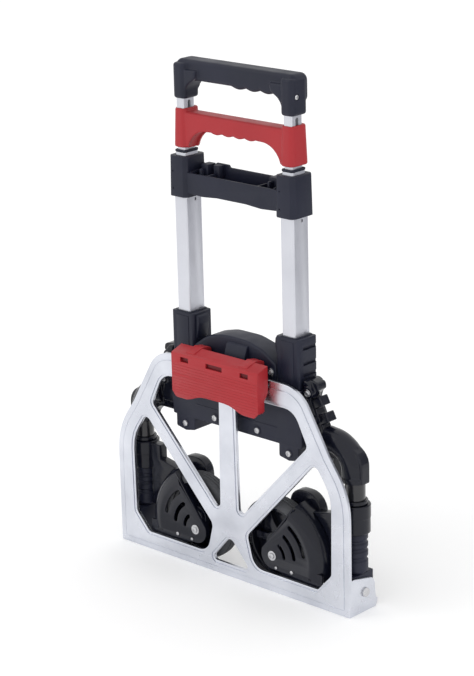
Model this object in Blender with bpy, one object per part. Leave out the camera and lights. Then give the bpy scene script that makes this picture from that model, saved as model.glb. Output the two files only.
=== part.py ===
"""A folding hand truck, standing folded: toe plate up, wheels tucked in, handle collapsed.

Metres, +Z up, the toe plate's face towards -Y. The origin is under the middle of the whole truck.
Depths are first counted back from the toe plate's face and then shifted by FACE_Y.
"""
import math

import bmesh
import bpy
from mathutils import Vector
from mathutils.geometry import intersect_line_line_2d

MM = 0.001

# ---- driving dimensions -------------------------------------------------------------------------
FIT = 0.3 * MM            # gap between two fixed pieces that touch
RUN = 0.5 * MM            # gap round a piece that turns or slides
FACE_Y = -20.0 * MM       # where the toe plate's face stands, so that the truck is centred

TOE_WIDTH = 490 * MM
TOE_HEIGHT = 348 * MM
TOE_SKIN = 2.6 * MM       # thickness between the lips
TOE_DEPTH = 6.0 * MM      # thickness at the lips
LIP = 4.5 * MM            # width of the lips round the edge and the windows
STRUT_HALF = 17 * MM      # half the middle strut's width
EAR_DEPTH = 63 * MM
EAR_HEIGHT = 60 * MM
EAR_WALL = 4.5 * MM
PIVOT_DEPTH = 37 * MM     # the toe plate's hinge, behind its face
PIVOT_HEIGHT = 32 * MM
PIVOT_R = 4 * MM

TUBE_X = 109.3 * MM       # the handle tubes' middle lines
TUBE_DEPTH = 41.5 * MM
OUTER_W, OUTER_D = 26 * MM, 35 * MM
TUBE_WALL = 1.3 * MM
SLIDE_GAP = 1.2 * MM      # room between one tube's wall and the next tube in
NEXT_IN = 2 * (TUBE_WALL + SLIDE_GAP)
MIDDLE_W, MIDDLE_D = OUTER_W - NEXT_IN, OUTER_D - NEXT_IN
INNER_W, INNER_D = MIDDLE_W - NEXT_IN, MIDDLE_D - NEXT_IN
OUTER_LOW, OUTER_HIGH = TOE_HEIGHT - 124 * MM, 640 * MM
MIDDLE_LOW, MIDDLE_HIGH = OUTER_LOW + 14 * MM, OUTER_HIGH + 28.5 * MM
INNER_LOW, INNER_HIGH = OUTER_LOW + 28 * MM, OUTER_HIGH + 154 * MM

CROSS_LOW, CROSS_HIGH = TOE_HEIGHT - 107 * MM, TOE_HEIGHT - 13 * MM
CROSS_HALF = TUBE_X + OUTER_W / 2 + 13.7 * MM
CROSS_FRONT = TUBE_DEPTH - OUTER_D / 2 - 4 * MM
CROSS_BACK = TUBE_DEPTH + OUTER_D / 2 + 4 * MM
TAB_LOW = CROSS_LOW - 24 * MM             # its two tabs hang below it round the tubes
TAB_HALF = OUTER_W / 2 + 7 * MM
SOCKET_HALF = OUTER_W / 2 + 10.5 * MM
SOCKET_HIGH = TOE_HEIGHT + 66 * MM
COLLAR_HIGH = SOCKET_HIGH + 1.5 * MM
ARCH_PEAK = TOE_HEIGHT + 46 * MM
ARCH_SIDE = TOE_HEIGHT + 20 * MM

FOOT_BLOCK_R = 26 * MM
FOOT_BLOCK_HALF = 15.7 * MM
FOOT_WALL = 3 * MM        # the foot's sleeve round the leg
LEG_X = TOE_WIDTH / 2 - EAR_WALL - 0.8 * MM - FOOT_BLOCK_HALF
LEG_DEPTH = 40 * MM
LEG_R = 16 * MM
LEG_WALL = 1.5 * MM
ELBOW_LOW = TOE_HEIGHT - 141 * MM
ELBOW_HALF = LEG_R + 5 * MM
LEG_LOW, LEG_HIGH = EAR_HEIGHT + 6 * MM, ELBOW_LOW + 29 * MM
SLEEVE_LOW, SLEEVE_HIGH = 126 * MM, 172 * MM
SLEEVE_R = LEG_R + 8 * MM
COLLAR_H = 6 * MM

WHEEL_X = LEG_X - 141 * MM
WHEEL_R = WHEEL_X - 11 * MM               # leaves a gap between the two folded wheels
WHEEL_Z = WHEEL_R + 5 * MM
TYRE_FRONT, TYRE_BACK = 13 * MM, 41 * MM
RIM_R = WHEEL_R - 13 * MM
RIM_IN = RIM_R - 6 * MM
HUB_R = 17 * MM
AXLE_R = 5 * MM
BEARING_R = 11 * MM
SPOKES = 6

GUARD_X, GUARD_Z = WHEEL_X - 0.5 * MM, WHEEL_Z - 20 * MM   # its bolt, the centre of its curves
GUARD_R = WHEEL_R + 32 * MM
GUARD_FRONT, GUARD_BACK = 7 * MM, 62 * MM
GUARD_WALL = 2.6 * MM
GUARD_LIP = 16 * MM       # width of the edge turned in round the guard's open back
GUARD_LOW = GUARD_Z - 23 * MM
GUARD_CORNER_ANGLE = 65   # degrees above the sideways direction, where its straight edge starts
SLOT_RADII = (24 * MM, 47 * MM, 70 * MM)
SLOT_WIDTH = 7 * MM

BRIDGE_LOW, BRIDGE_HIGH = OUTER_HIGH - 40 * MM, OUTER_HIGH + 24 * MM
BRIDGE_HALF = OUTER_W / 2 + 5.5 * MM
BRIDGE_FRONT = TUBE_DEPTH - OUTER_D / 2 - 6 * MM
BRIDGE_BACK = TUBE_DEPTH + OUTER_D / 2 + 7 * MM

RELEASE_LOW, RELEASE_HIGH = OUTER_HIGH + 36.5 * MM, OUTER_HIGH + 97 * MM
RELEASE_BAR_LOW = RELEASE_LOW + 29 * MM
GRIP_LOW, GRIP_HIGH = OUTER_HIGH + 112 * MM, OUTER_HIGH + 173 * MM
GRIP_SOCKET_HIGH = GRIP_HIGH - 7 * MM
GRIP_BAR_LOW = GRIP_LOW + 28 * MM
HAND_HALF = INNER_W / 2 + 4.5 * MM        # half the width of both handles' ends
HAND_DEPTH = INNER_D + 10 * MM            # their depth

LATCH_HALF = 90 * MM
LATCH_LOW, LATCH_HIGH = TOE_HEIGHT - 56 * MM, TOE_HEIGHT + 18 * MM
LATCH_FRONT = -27 * MM
LATCH_WALL = 3 * MM
LATCH_PIN_DEPTH, LATCH_PIN_HEIGHT = -9 * MM, TOE_HEIGHT - 10 * MM
LATCH_PIN_R = 2.5 * MM
LEDGE_TOP = TOE_HEIGHT + 11.5 * MM        # the arch cover's ledge, under the latch's hooks
HOOK_X, HOOK_HALF = 55 * MM, 9 * MM

SIDES = (("left", -1), ("right", 1))


# ---- small helpers ------------------------------------------------------------------------------
def clear_scene():
    for item in list(bpy.data.objects):
        bpy.data.objects.remove(item, do_unlink=True)


def finish(name, colour, roughness, metallic=0.0):
    """A plain material with one colour."""
    material = bpy.data.materials.get(name)
    if material is None:
        material = bpy.data.materials.new(name)
        material.use_nodes = True
        shader = material.node_tree.nodes["Principled BSDF"]
        shader.inputs["Base Color"].default_value = (*colour, 1.0)
        shader.inputs["Roughness"].default_value = roughness
        shader.inputs["Metallic"].default_value = metallic
        material.diffuse_color = (*colour, 1.0)
    return material


def black():
    return finish("black_plastic", (0.045, 0.047, 0.058), 0.45)


def red():
    return finish("red_plastic", (0.52, 0.045, 0.05), 0.4)


def bright():
    return finish("aluminium", (0.72, 0.73, 0.76), 0.35, 1.0)


def steel():
    return finish("steel", (0.6, 0.6, 0.62), 0.3, 1.0)


def rubber():
    return finish("rubber", (0.09, 0.09, 0.095), 0.7)


def leg_paint():
    return finish("leg_paint", (0.04, 0.042, 0.05), 0.35)


def make_object(name, mesh_data, material):
    """Close a bmesh into a named object with outward faces."""
    bmesh.ops.recalc_face_normals(mesh_data, faces=mesh_data.faces[:])
    mesh = bpy.data.meshes.new(name)
    mesh_data.to_mesh(mesh)
    mesh_data.free()
    mesh.shade_smooth()
    mesh.set_sharp_from_angle(angle=math.radians(35))
    item = bpy.data.objects.new(name, mesh)
    bpy.context.scene.collection.objects.link(item)
    mesh.materials.append(material)
    return item


def rounded(corners, step=30):
    """Points of a closed outline from (u, v, radius) corners; each corner becomes an arc."""
    points = []
    count = len(corners)
    for index, (u, v, radius) in enumerate(corners):
        here = Vector((u, v))
        before = (Vector(corners[index - 1][:2]) - here).normalized()
        after = (Vector(corners[(index + 1) % count][:2]) - here).normalized()
        half = before.angle(after) / 2
        if radius <= 0 or half > math.radians(88):
            points.append((u, v))
            continue
        reach = radius / math.tan(half)
        start = here + before * reach
        centre = here + (before + after).normalized() * (radius / math.sin(half))
        turn = math.pi - 2 * half
        arcs = max(1, round(math.degrees(turn) / step))
        first = start - centre
        way = 1 if before.cross(after) < 0 else -1
        for arc in range(arcs + 1):
            angle = way * turn * arc / arcs
            cos, sin = math.cos(angle), math.sin(angle)
            points.append((centre.x + first.x * cos - first.y * sin,
                           centre.y + first.x * sin + first.y * cos))
    return points


def grown(corners, distance):
    """The same corners, with every side moved outwards (or inwards, below zero)."""
    area = sum(a[0] * b[1] - b[0] * a[1] for a, b in zip(corners, corners[1:] + corners[:1]))
    way = 1 if area > 0 else -1
    count = len(corners)
    sides = []
    for index in range(count):
        a = Vector(corners[index][:2])
        b = Vector(corners[(index + 1) % count][:2])
        along = (b - a).normalized()
        push = Vector((along.y, -along.x)) * way * distance
        sides.append((a + push, b + push, along))
    result = []
    for index in range(count):
        a, b, along_a = sides[index - 1]
        c, d, along_b = sides[index]
        meet = intersect_line_line_2d(a - along_a, b + along_a, c - along_b, d + along_b) or c
        convex = along_a.cross(along_b) * way > 0
        radius = corners[index][2]
        radius = max(0.5 * MM, radius + distance if convex else radius - distance)
        result.append((meet[0], meet[1], radius))
    return result


def oblong(u, v, wide, high, radius=0.0, step=30):
    """A rounded rectangle round a middle point."""
    half_w, half_h = wide / 2, high / 2
    return rounded([(u - half_w, v - half_h, radius), (u + half_w, v - half_h, radius),
                    (u + half_w, v + half_h, radius), (u - half_w, v + half_h, radius)], step)


def ring_points(u, v, radius, count=24):
    return [(u + radius * math.cos(math.tau * i / count), v + radius * math.sin(math.tau * i / count))
            for i in range(count)]


PLACE = {
    "x": lambda u, v, w: (w, u, v),     # outline in (y, z), pushed along x
    "y": lambda u, v, w: (u, w, v),     # outline in (x, z), pushed along y
    "z": lambda u, v, w: (u, v, w),     # outline in (x, y), pushed along z
}


def fill(mesh_data, rings):
    """Faces over the region between closed rings of vertices that lie in one plane."""
    if len(rings) == 1:
        mesh_data.faces.new(rings[0])
        return
    edges = []
    for ring in rings:
        for a, b in zip(ring, ring[1:] + ring[:1]):
            edges.append(mesh_data.edges.get((a, b)) or mesh_data.edges.new((a, b)))
    bmesh.ops.triangle_fill(mesh_data, edges=edges, use_beauty=True)


def wall(mesh_data, low_ring, high_ring):
    """A band of four-sided faces between two rings."""
    count = len(low_ring)
    for index in range(count):
        after = (index + 1) % count
        mesh_data.faces.new((low_ring[index], low_ring[after], high_ring[after], high_ring[index]))


def prism(name, loops, axis, low, high, material):
    """A straight extrusion of an outline; further loops are holes right through it."""
    mesh_data = bmesh.new()
    place = PLACE[axis]
    lower = [[mesh_data.verts.new(place(u, v, low)) for u, v in loop] for loop in loops]
    upper = [[mesh_data.verts.new(place(u, v, high)) for u, v in loop] for loop in loops]
    for low_ring, high_ring in zip(lower, upper):
        wall(mesh_data, low_ring, high_ring)
    fill(mesh_data, lower)
    fill(mesh_data, upper)
    return make_object(name, mesh_data, material)


def block(name, low, high, material):
    """A box between two corners."""
    loop = [(low[0], low[1]), (high[0], low[1]), (high[0], high[1]), (low[0], high[1])]
    return prism(name, [loop], "z", low[2], high[2], material)


def turned(name, profile, axis, centre, material, steps=24):
    """A closed (radius, along) profile turned round an axis through a centre."""
    mesh_data = bmesh.new()
    place = PLACE[axis]
    base = Vector(centre)
    rings = []
    for radius, along in profile:
        if radius <= 0:
            rings.append([mesh_data.verts.new(base + Vector(place(0, 0, along)))])
            continue
        rings.append([mesh_data.verts.new(base + Vector(place(u, v, along)))
                      for u, v in ring_points(0, 0, radius, steps)])
    pairs = list(zip(rings, rings[1:]))
    if profile[0][0] > 0 and profile[-1][0] > 0:
        pairs.append((rings[-1], rings[0]))
    for a, b in pairs:
        if len(a) == 1:
            for index in range(steps):
                mesh_data.faces.new((a[0], b[index], b[(index + 1) % steps]))
        elif len(b) == 1:
            for index in range(steps):
                mesh_data.faces.new((b[0], a[index], a[(index + 1) % steps]))
        else:
            wall(mesh_data, a, b)
    return make_object(name, mesh_data, material)


def soften(item, width, segments=1, angle=35):
    """Round an object's sharp edges."""
    bevel = item.modifiers.new("soften", "BEVEL")
    bevel.width = width
    bevel.segments = segments
    bevel.limit_method = "ANGLE"
    bevel.angle_limit = math.radians(angle)
    return item


def combine(target, tool, operation):
    """Cut a tool out of an object, or join it on; the tool itself is left out of the build."""
    boolean = target.modifiers.new(tool.name, "BOOLEAN")
    boolean.operation = operation
    boolean.solver = "EXACT"
    boolean.object = tool
    tool.hide_render = True
    tool.display_type = "WIRE"
    return target


def cut(target, *tools):
    for tool in tools:
        combine(target, tool, "DIFFERENCE")
    return target


def join(target, *tools):
    for tool in tools:
        combine(target, tool, "UNION")
    return target


def carried(pivot_name, point, items):
    """Hang finished pieces from an empty that stands on their joint's axis."""
    pivot = bpy.data.objects.new(pivot_name, None)
    pivot.location = point
    bpy.context.scene.collection.objects.link(pivot)
    for item in items:
        item.parent = pivot
        item.location = -Vector(point)
    return pivot


def back(depth):
    """World y of a depth behind the toe plate's face."""
    return FACE_Y + depth


# ---- toe plate ----------------------------------------------------------------------------------
def stretched(corners):
    """Corners drawn on a plate 490 by 348 mm, stretched to the real one."""
    wide, high = TOE_WIDTH / 490, TOE_HEIGHT / 348
    return [(x * wide, z * high, radius * MM) for x, z, radius in corners]


def mirrored_back(corners):
    return [(-x, z, radius) for x, z, radius in reversed(corners)]


def toe_outline():
    right = stretched([(245, 0, 5), (245, 190, 70), (208, 248, 12), (150, 348, 45)])
    return right + mirrored_back(right)


def toe_windows():
    """The middle triangle, the arch windows beside the middle strut, and the side windows."""
    windows = [stretched([(-43, 21, 6), (43, 21, 6), (0, 69, 10)])]
    arch = stretched([(17, 310, 6), (20, 104, 7), (164, 257, 9), (138, 310, 30)])
    arch[0] = (STRUT_HALF, arch[0][1], arch[0][2])
    arch[1] = (STRUT_HALF + 3 * MM, arch[1][1], arch[1][2])
    side = stretched([(37, 81, 14), (50, 30, 24), (181, 30, 6), (208.5, 60, 10), (210, 190, 70),
                      (179, 234, 9)])
    for shape in (arch, side):
        windows += [shape, mirrored_back(shape)]
    return windows


def ear_outline():
    top_back = EAR_HEIGHT - 11 * MM
    return rounded([(back(0), 0, 0), (back(EAR_DEPTH), 0, 2 * MM), (back(EAR_DEPTH + 4 * MM), 8 * MM, 2 * MM),
                    (back(EAR_DEPTH + 4 * MM), 13 * MM, 2 * MM), (back(EAR_DEPTH), 16 * MM, 1 * MM),
                    (back(EAR_DEPTH - 3 * MM), top_back, 12 * MM), (back(13 * MM), EAR_HEIGHT, 4 * MM),
                    (back(0), EAR_HEIGHT, 0)])


def make_toe_plate():
    """A pressed plate with lips turned back round its edge and windows, and an ear at each foot."""
    outline, windows = toe_outline(), toe_windows()
    mesh_data = bmesh.new()

    def ring(corners, depth):
        return [mesh_data.verts.new((x, back(depth), z)) for x, z in rounded(corners)]

    front, lip_top, lip_foot, lip_back = [], [], [], []
    for index, corners in enumerate([outline] + windows):
        inner = grown(corners, -LIP if index == 0 else LIP)
        front.append(ring(corners, 0))
        lip_back.append(ring(corners, TOE_DEPTH))
        lip_top.append(ring(inner, TOE_DEPTH))
        lip_foot.append(ring(inner, TOE_SKIN))
        wall(mesh_data, front[-1], lip_back[-1])
        wall(mesh_data, lip_foot[-1], lip_top[-1])
        fill(mesh_data, [lip_back[-1], lip_top[-1]])
    fill(mesh_data, front)
    fill(mesh_data, lip_foot)
    plate = make_object("toe_plate", mesh_data, bright())
    half = TOE_WIDTH / 2
    for side, way in SIDES:
        low, high = sorted((way * half, way * (half - EAR_WALL)))
        ear = prism("guide_ear_" + side, [ear_outline()], "x", low, high, bright())
        hole = turned("cut_ear_" + side, [(0, -10 * MM), (PIVOT_R + FIT, -10 * MM),
                                          (PIVOT_R + FIT, 10 * MM), (0, 10 * MM)],
                      "x", (way * half, back(PIVOT_DEPTH), PIVOT_HEIGHT), bright(), 20)
        join(plate, ear)
        cut(plate, hole)
        lug_low, lug_high = sorted((way * 70 * MM, way * 76 * MM))
        lug = prism("guide_lug_" + side, [rounded(
            [(back(LATCH_PIN_DEPTH - 6 * MM), LATCH_PIN_HEIGHT - 6 * MM, 5 * MM),
             (back(1 * MM), LATCH_PIN_HEIGHT - 8 * MM, 0),
             (back(1 * MM), LATCH_PIN_HEIGHT + 8 * MM, 0),
             (back(LATCH_PIN_DEPTH - 6 * MM), LATCH_PIN_HEIGHT + 6 * MM, 5 * MM)])],
            "x", lug_low, lug_high, bright())
        join(plate, lug)
    pin_hole = turned("cut_latch_pin", [(0, -80 * MM), (LATCH_PIN_R + FIT, -80 * MM),
                                        (LATCH_PIN_R + FIT, 80 * MM), (0, 80 * MM)],
                      "x", (0, back(LATCH_PIN_DEPTH), LATCH_PIN_HEIGHT), bright(), 16)
    cut(plate, pin_hole)
    return plate


def make_pivot_bolt(side, way):
    """A shouldered bolt from outside the ear into the foot block."""
    half = TOE_WIDTH / 2
    head = half + FIT
    profile = [(0, head + 4 * MM), (6.5 * MM, head + 3.4 * MM), (7.5 * MM, head + 2 * MM), (7.5 * MM, head),
               (PIVOT_R, head), (PIVOT_R, half - 22 * MM), (0, half - 22 * MM)]
    return turned("pivot_bolt_" + side, [(r, way * x) for r, x in profile], "x",
                  (0, back(PIVOT_DEPTH), PIVOT_HEIGHT), steel(), 20)


# ---- latch --------------------------------------------------------------------------------------
def latch_profile(inset):
    """The latch's side outline in (y, z), drawn in by a wall's thickness."""
    top = LATCH_HIGH + 6 * MM - inset
    return [(back(LATCH_FRONT + inset), LATCH_LOW + inset, 2 * MM),
            (back(-12 * MM), LATCH_LOW + inset, 0), (back(-12 * MM), LATCH_LOW + 26 * MM, 0),
            (back(-2 * MM), LATCH_LOW + 38 * MM, 0), (back(-2 * MM), top, 0),
            (back(LATCH_FRONT + inset + 5 * MM), LATCH_HIGH - inset, 4 * MM)]


def make_latch():
    """A hollow press panel with two hooks that reach back over the arch cover's ledge."""
    panel = prism("latch", [rounded(latch_profile(0))], "x", -LATCH_HALF, LATCH_HALF, red())
    hollow = latch_profile(LATCH_WALL)
    open_back = back(5 * MM)
    hollow[1:5] = [(open_back, hollow[0][1], 0), (open_back, hollow[4][1], 0)]
    room = (LATCH_HALF - LATCH_WALL) / 3
    for index in range(3):
        middle = (index - 1) * 2 * room
        cut(panel, prism("cut_latch_hollow_%d" % index, [rounded(hollow)], "x", middle - room + 1 * MM,
                         middle + room - 1 * MM, red()))
    low = LATCH_LOW - 20 * MM
    rise, lift = LATCH_LOW + 10 * MM, LATCH_LOW - 1 * MM
    scoop = [(-60 * MM, low, 0), (60 * MM, low, 0), (60 * MM, lift, 0), (48 * MM, rise, 30 * MM),
             (-48 * MM, rise, 30 * MM), (-60 * MM, lift, 0)]
    for side, way in SIDES:
        edge, inner = way * (LATCH_HALF + 1 * MM), way * (LATCH_HALF - 10 * MM)
        corner = [(edge, low), (edge, rise), (inner, lift), (inner, low)]
        cut(panel, prism("cut_latch_corner_" + side, [corner], "y", back(-40 * MM), back(0), red()))
        under = LEDGE_TOP + 1.5 * MM
        hook = rounded([(back(-20 * MM), under + 3 * MM, 1 * MM), (back(-2.5 * MM), under - 1 * MM, 0),
                        (back(18 * MM), under, 2 * MM), (back(18 * MM), under + 9 * MM, 4 * MM),
                        (back(0), under + 12 * MM, 5 * MM), (back(-20 * MM), under + 7 * MM, 1 * MM)])
        middle = way * HOOK_X
        join(panel, prism("guide_hook_" + side, [hook], "x", middle - HOOK_HALF, middle + HOOK_HALF, red()))
    slot_low, slot_high = LATCH_HIGH - 15 * MM, LATCH_HIGH - 6 * MM
    for index, (left, right) in enumerate(((-71, -53), (-17, 17), (53, 71))):
        cut(panel, block("cut_latch_slot_%d" % index, (left * MM, back(-30 * MM), slot_low),
                         (right * MM, back(-20 * MM), slot_high), red()))
    cut(panel, prism("cut_latch_scoop", [rounded(scoop)], "y", back(-40 * MM), back(0), red()))
    reach = LATCH_HALF + 5 * MM
    cut(panel, turned("cut_latch_bore", [(0, -reach), (LATCH_PIN_R + RUN, -reach),
                                         (LATCH_PIN_R + RUN, reach), (0, reach)],
                      "x", (0, back(LATCH_PIN_DEPTH), LATCH_PIN_HEIGHT), red(), 16))
    return panel


def make_latch_pin():
    reach = LATCH_HALF - 0.5 * MM
    return turned("latch_pin", [(0, -reach), (LATCH_PIN_R, -reach), (LATCH_PIN_R, reach), (0, reach)],
                  "x", (0, back(LATCH_PIN_DEPTH), LATCH_PIN_HEIGHT), steel(), 16)


# ---- fixed frame --------------------------------------------------------------------------------
def tube_loop(x, wide, deep, radius):
    return oblong(x, back(TUBE_DEPTH), wide, deep, radius)


def make_tube(name, x, wide, deep, low, high):
    """A rectangular aluminium tube, open at both ends."""
    inner = tube_loop(x, wide - 2 * TUBE_WALL, deep - 2 * TUBE_WALL, 1.5 * MM)
    return prism(name, [tube_loop(x, wide, deep, 3 * MM), inner], "z", low, high, bright())


def tube_cutter(name, x, wide, deep, gap, low, high):
    return prism(name, [tube_loop(x, wide + 2 * gap, deep + 2 * gap, 3 * MM)], "z", low, high, black())


def make_cross_member():
    """The moulding that ties both tubes and both shoulders; ribbed and open at its back."""
    right = [(CROSS_HALF, CROSS_LOW, 3 * MM), (CROSS_HALF, CROSS_HIGH, 0)]
    tab = [(TUBE_X - TAB_HALF, CROSS_LOW, 1 * MM), (TUBE_X - TAB_HALF, TAB_LOW + 4 * MM, 3 * MM),
           (TUBE_X, TAB_LOW, 6 * MM), (TUBE_X + TAB_HALF, TAB_LOW + 4 * MM, 3 * MM),
           (TUBE_X + TAB_HALF, CROSS_LOW, 1 * MM)]
    half = tab + right
    whole = half + [(-x, z, radius) for x, z, radius in reversed(half)]
    beam = prism("cross_member", [rounded(whole)], "y", back(CROSS_FRONT), back(CROSS_BACK), black())
    soften(beam, 1.2 * MM)
    pocket_half = TUBE_X - OUTER_W / 2 - 8 * MM
    ribs = 4
    rib = 3 * MM
    pitch = (2 * pocket_half + rib) / ribs
    for index in range(ribs):
        left = -pocket_half + index * pitch
        cut(beam, block("cut_cross_pocket_%d" % index,
                        (left, back(CROSS_FRONT + 4 * MM), CROSS_LOW + 4 * MM),
                        (left + pitch - rib, back(CROSS_BACK + 1 * MM), CROSS_HIGH - 4 * MM), black()))
    for side, way in SIDES:
        cut(beam, tube_cutter("cut_cross_tube_" + side, way * TUBE_X, OUTER_W, OUTER_D, FIT,
                              OUTER_LOW - FIT, CROSS_HIGH + 5 * MM))
    return beam


def make_socket(side, way):
    """The collar round an outer tube, on top of the cross member."""
    x = way * TUBE_X
    depth = CROSS_BACK - CROSS_FRONT
    middle = back((CROSS_FRONT + CROSS_BACK) / 2)
    hole = tube_loop(x, OUTER_W + 2 * FIT, OUTER_D + 2 * FIT, 3 * MM)
    body = prism("socket_" + side, [oblong(x, middle, 2 * SOCKET_HALF, depth, 5 * MM), hole], "z",
                 CROSS_HIGH + FIT, SOCKET_HIGH, black())
    ring = oblong(x, middle, OUTER_W + 8 * MM, OUTER_D + 6 * MM, 4 * MM)
    collar = prism("guide_collar_" + side, [ring, hole], "z", SOCKET_HIGH - 2 * MM, COLLAR_HIGH, black())
    soften(body, 1 * MM, angle=50)
    join(body, collar)
    edge = x + way * SOCKET_HALF
    for index, rise in enumerate((19 * MM, 37 * MM, 61 * MM)):
        z = CROSS_HIGH + rise
        low, high = sorted((edge - way * 4 * MM, edge + way * 5 * MM))
        cut(body, block("cut_socket_%s_%d" % (side, index), (low, back(CROSS_FRONT + 14 * MM), z),
                        (high, back(CROSS_BACK + 5 * MM), z + 5 * MM), black()))
    return body


def make_arch_cover():
    """The arched cover between the sockets, hollow at its back, with the latch's ledge."""
    half = TUBE_X - SOCKET_HALF - FIT
    low = CROSS_HIGH + FIT
    shape = [(half, low, 0), (half, ARCH_SIDE, 4 * MM), (52 * MM, ARCH_PEAK - 5 * MM, 40 * MM),
             (28 * MM, ARCH_PEAK, 20 * MM)]
    outline = shape + [(-x, z, radius) for x, z, radius in reversed(shape)]
    rear = back(CROSS_BACK - 3 * MM)
    cover = prism("arch_cover", [rounded(outline)], "y", back(CROSS_FRONT), rear, black())
    soften(cover, 3 * MM, angle=50)
    hollow = prism("cut_arch_hollow", [rounded(grown(outline, -3 * MM))], "y", back(CROSS_FRONT + 3 * MM),
                   back(CROSS_BACK + 5 * MM), black())
    third = half / 3
    for side, way in SIDES:
        cut(hollow, block("cut_arch_rib_" + side, (way * third - 1.5 * MM, back(CROSS_FRONT), low),
                          (way * third + 1.5 * MM, back(CROSS_BACK + 10 * MM), ARCH_PEAK + 5 * MM), black()))
    cut(cover, hollow)
    root = back(CROSS_FRONT + 1 * MM)
    ledge = rounded([(root, LEDGE_TOP - 10.5 * MM, 0), (root, LEDGE_TOP, 0),
                     (back(9 * MM), LEDGE_TOP - 0.5 * MM, 1 * MM),
                     (back(9 * MM), LEDGE_TOP - 6.5 * MM, 1 * MM)])
    join(cover, prism("guide_ledge", [ledge], "x", -70 * MM, 70 * MM, black()))
    tab = rounded([(root, ARCH_PEAK - 36 * MM, 0), (root, ARCH_PEAK - 6 * MM, 0),
                   (back(16 * MM), ARCH_PEAK - 11 * MM, 2 * MM), (back(9 * MM), ARCH_PEAK - 30 * MM, 3 * MM)])
    join(cover, prism("guide_thumb_tab", [tab], "x", -12 * MM, 30 * MM, black()))
    return cover


def shoulder_outline():
    """Right-hand shoulder in (x, z): toothed spine, round elbow, and the socket for the leg."""
    inner = CROSS_HALF + FIT
    edge = LEG_X + ELBOW_HALF
    top = CROSS_HIGH + 18 * MM
    spine = inner + 23.7 * MM
    outline = [(inner, CROSS_LOW, 0), (LEG_X - ELBOW_HALF, CROSS_LOW, 14 * MM),
               (LEG_X - ELBOW_HALF, ELBOW_LOW, 0), (edge, ELBOW_LOW, 0),
               (edge, ELBOW_LOW + 43 * MM, 30 * MM), (edge - 33 * MM, ELBOW_LOW + 63 * MM, 30 * MM),
               (spine + 26 * MM, ELBOW_LOW + 73 * MM, 4 * MM)]
    teeth = 3
    low, high = Vector((spine + 22 * MM, ELBOW_LOW + 76 * MM)), Vector((spine, top - 25 * MM))
    along = (high - low) / (2 * teeth)
    inward = Vector((-along.y, along.x)).normalized() * 9 * MM
    for tooth in range(teeth):
        start = low + along * 2 * tooth
        for point in (start + inward, start + along * 0.7 + inward, start + along * 0.7, start + along * 2):
            outline.append((point.x, point.y, 0))
    outline += [(spine, top - 7 * MM, 8 * MM), (spine - 13 * MM, top, 3 * MM), (inner, top, 0)]
    return outline


def make_shoulder(side, way):
    loop = [(way * x, z) for x, z in rounded(shoulder_outline())]
    front, rear = LEG_DEPTH - ELBOW_HALF, LEG_DEPTH + ELBOW_HALF
    item = prism("shoulder_" + side, [loop], "y", back(front), back(rear), black())
    soften(item, 5 * MM, angle=60)
    leg = LEG_R + FIT
    hole = turned("cut_shoulder_" + side, [(0, ELBOW_LOW - 5 * MM), (leg, ELBOW_LOW - 5 * MM),
                                           (leg, LEG_HIGH + FIT), (0, LEG_HIGH + FIT)],
                  "z", (way * LEG_X, back(LEG_DEPTH), 0), black())
    return cut(item, hole)


def make_leg(side, way):
    """A round steel tube from the shoulder to the foot; the wheel arm's sleeve turns on it."""
    profile = [(LEG_R, LEG_LOW), (LEG_R, LEG_HIGH), (LEG_R - LEG_WALL, LEG_HIGH), (LEG_R - LEG_WALL, LEG_LOW)]
    return turned("leg_" + side, profile, "z", (way * LEG_X, back(LEG_DEPTH), 0), leg_paint())


def make_leg_collar(side, way):
    low = SLEEVE_HIGH + RUN
    inner = LEG_R + FIT
    outer = inner + 3.4 * MM
    profile = [(inner, low), (outer, low), (outer, low + COLLAR_H), (inner, low + COLLAR_H)]
    return turned("leg_collar_" + side, profile, "z", (way * LEG_X, back(LEG_DEPTH), 0), black())


def make_foot(side, way):
    """The leg's foot: a ringed sleeve on the tube, and the block that the toe plate turns on."""
    inner = LEG_R + FIT
    outer = inner + FOOT_WALL
    top = SLEEVE_LOW - RUN
    floor = LEG_LOW - FIT
    neck = FOOT_BLOCK_HALF - 0.5 * MM
    profile = [(0, EAR_HEIGHT - 10 * MM), (neck, EAR_HEIGHT - 10 * MM), (neck, EAR_HEIGHT + 1 * MM),
               (outer, EAR_HEIGHT + 4 * MM)]
    for groove in (top - 41 * MM, top - 26 * MM, top - 13 * MM):
        profile += [(outer, groove - 2 * MM), (outer - 1.6 * MM, groove), (outer, groove + 2 * MM)]
    profile += [(outer, top), (inner, top), (inner, floor), (0, floor)]
    sleeve = turned("guide_foot_" + side, profile, "z", (way * LEG_X, back(LEG_DEPTH), 0), black())
    centre = Vector((back(PIVOT_DEPTH), PIVOT_HEIGHT))
    block_top = EAR_HEIGHT
    outline = [(centre.x - FOOT_BLOCK_R, block_top)]
    outline += [(centre.x + FOOT_BLOCK_R * math.cos(a), centre.y + FOOT_BLOCK_R * math.sin(a))
                for a in (math.radians(180 + 15 * i) for i in range(13))]
    outline += [(centre.x + FOOT_BLOCK_R, block_top)]
    item = prism("foot_" + side, [outline], "x", way * LEG_X - FOOT_BLOCK_HALF, way * LEG_X + FOOT_BLOCK_HALF,
                 black())
    soften(item, 1.2 * MM, angle=50)
    join(item, sleeve)
    half = TOE_WIDTH / 2
    low, high = sorted((way * (half - 22.5 * MM), way * (half + 5 * MM)))
    hole = turned("cut_foot_" + side, [(0, low), (PIVOT_R + FIT, low), (PIVOT_R + FIT, high), (0, high)],
                  "x", (0, back(PIVOT_DEPTH), PIVOT_HEIGHT), black(), 20)
    return cut(item, hole)


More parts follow.
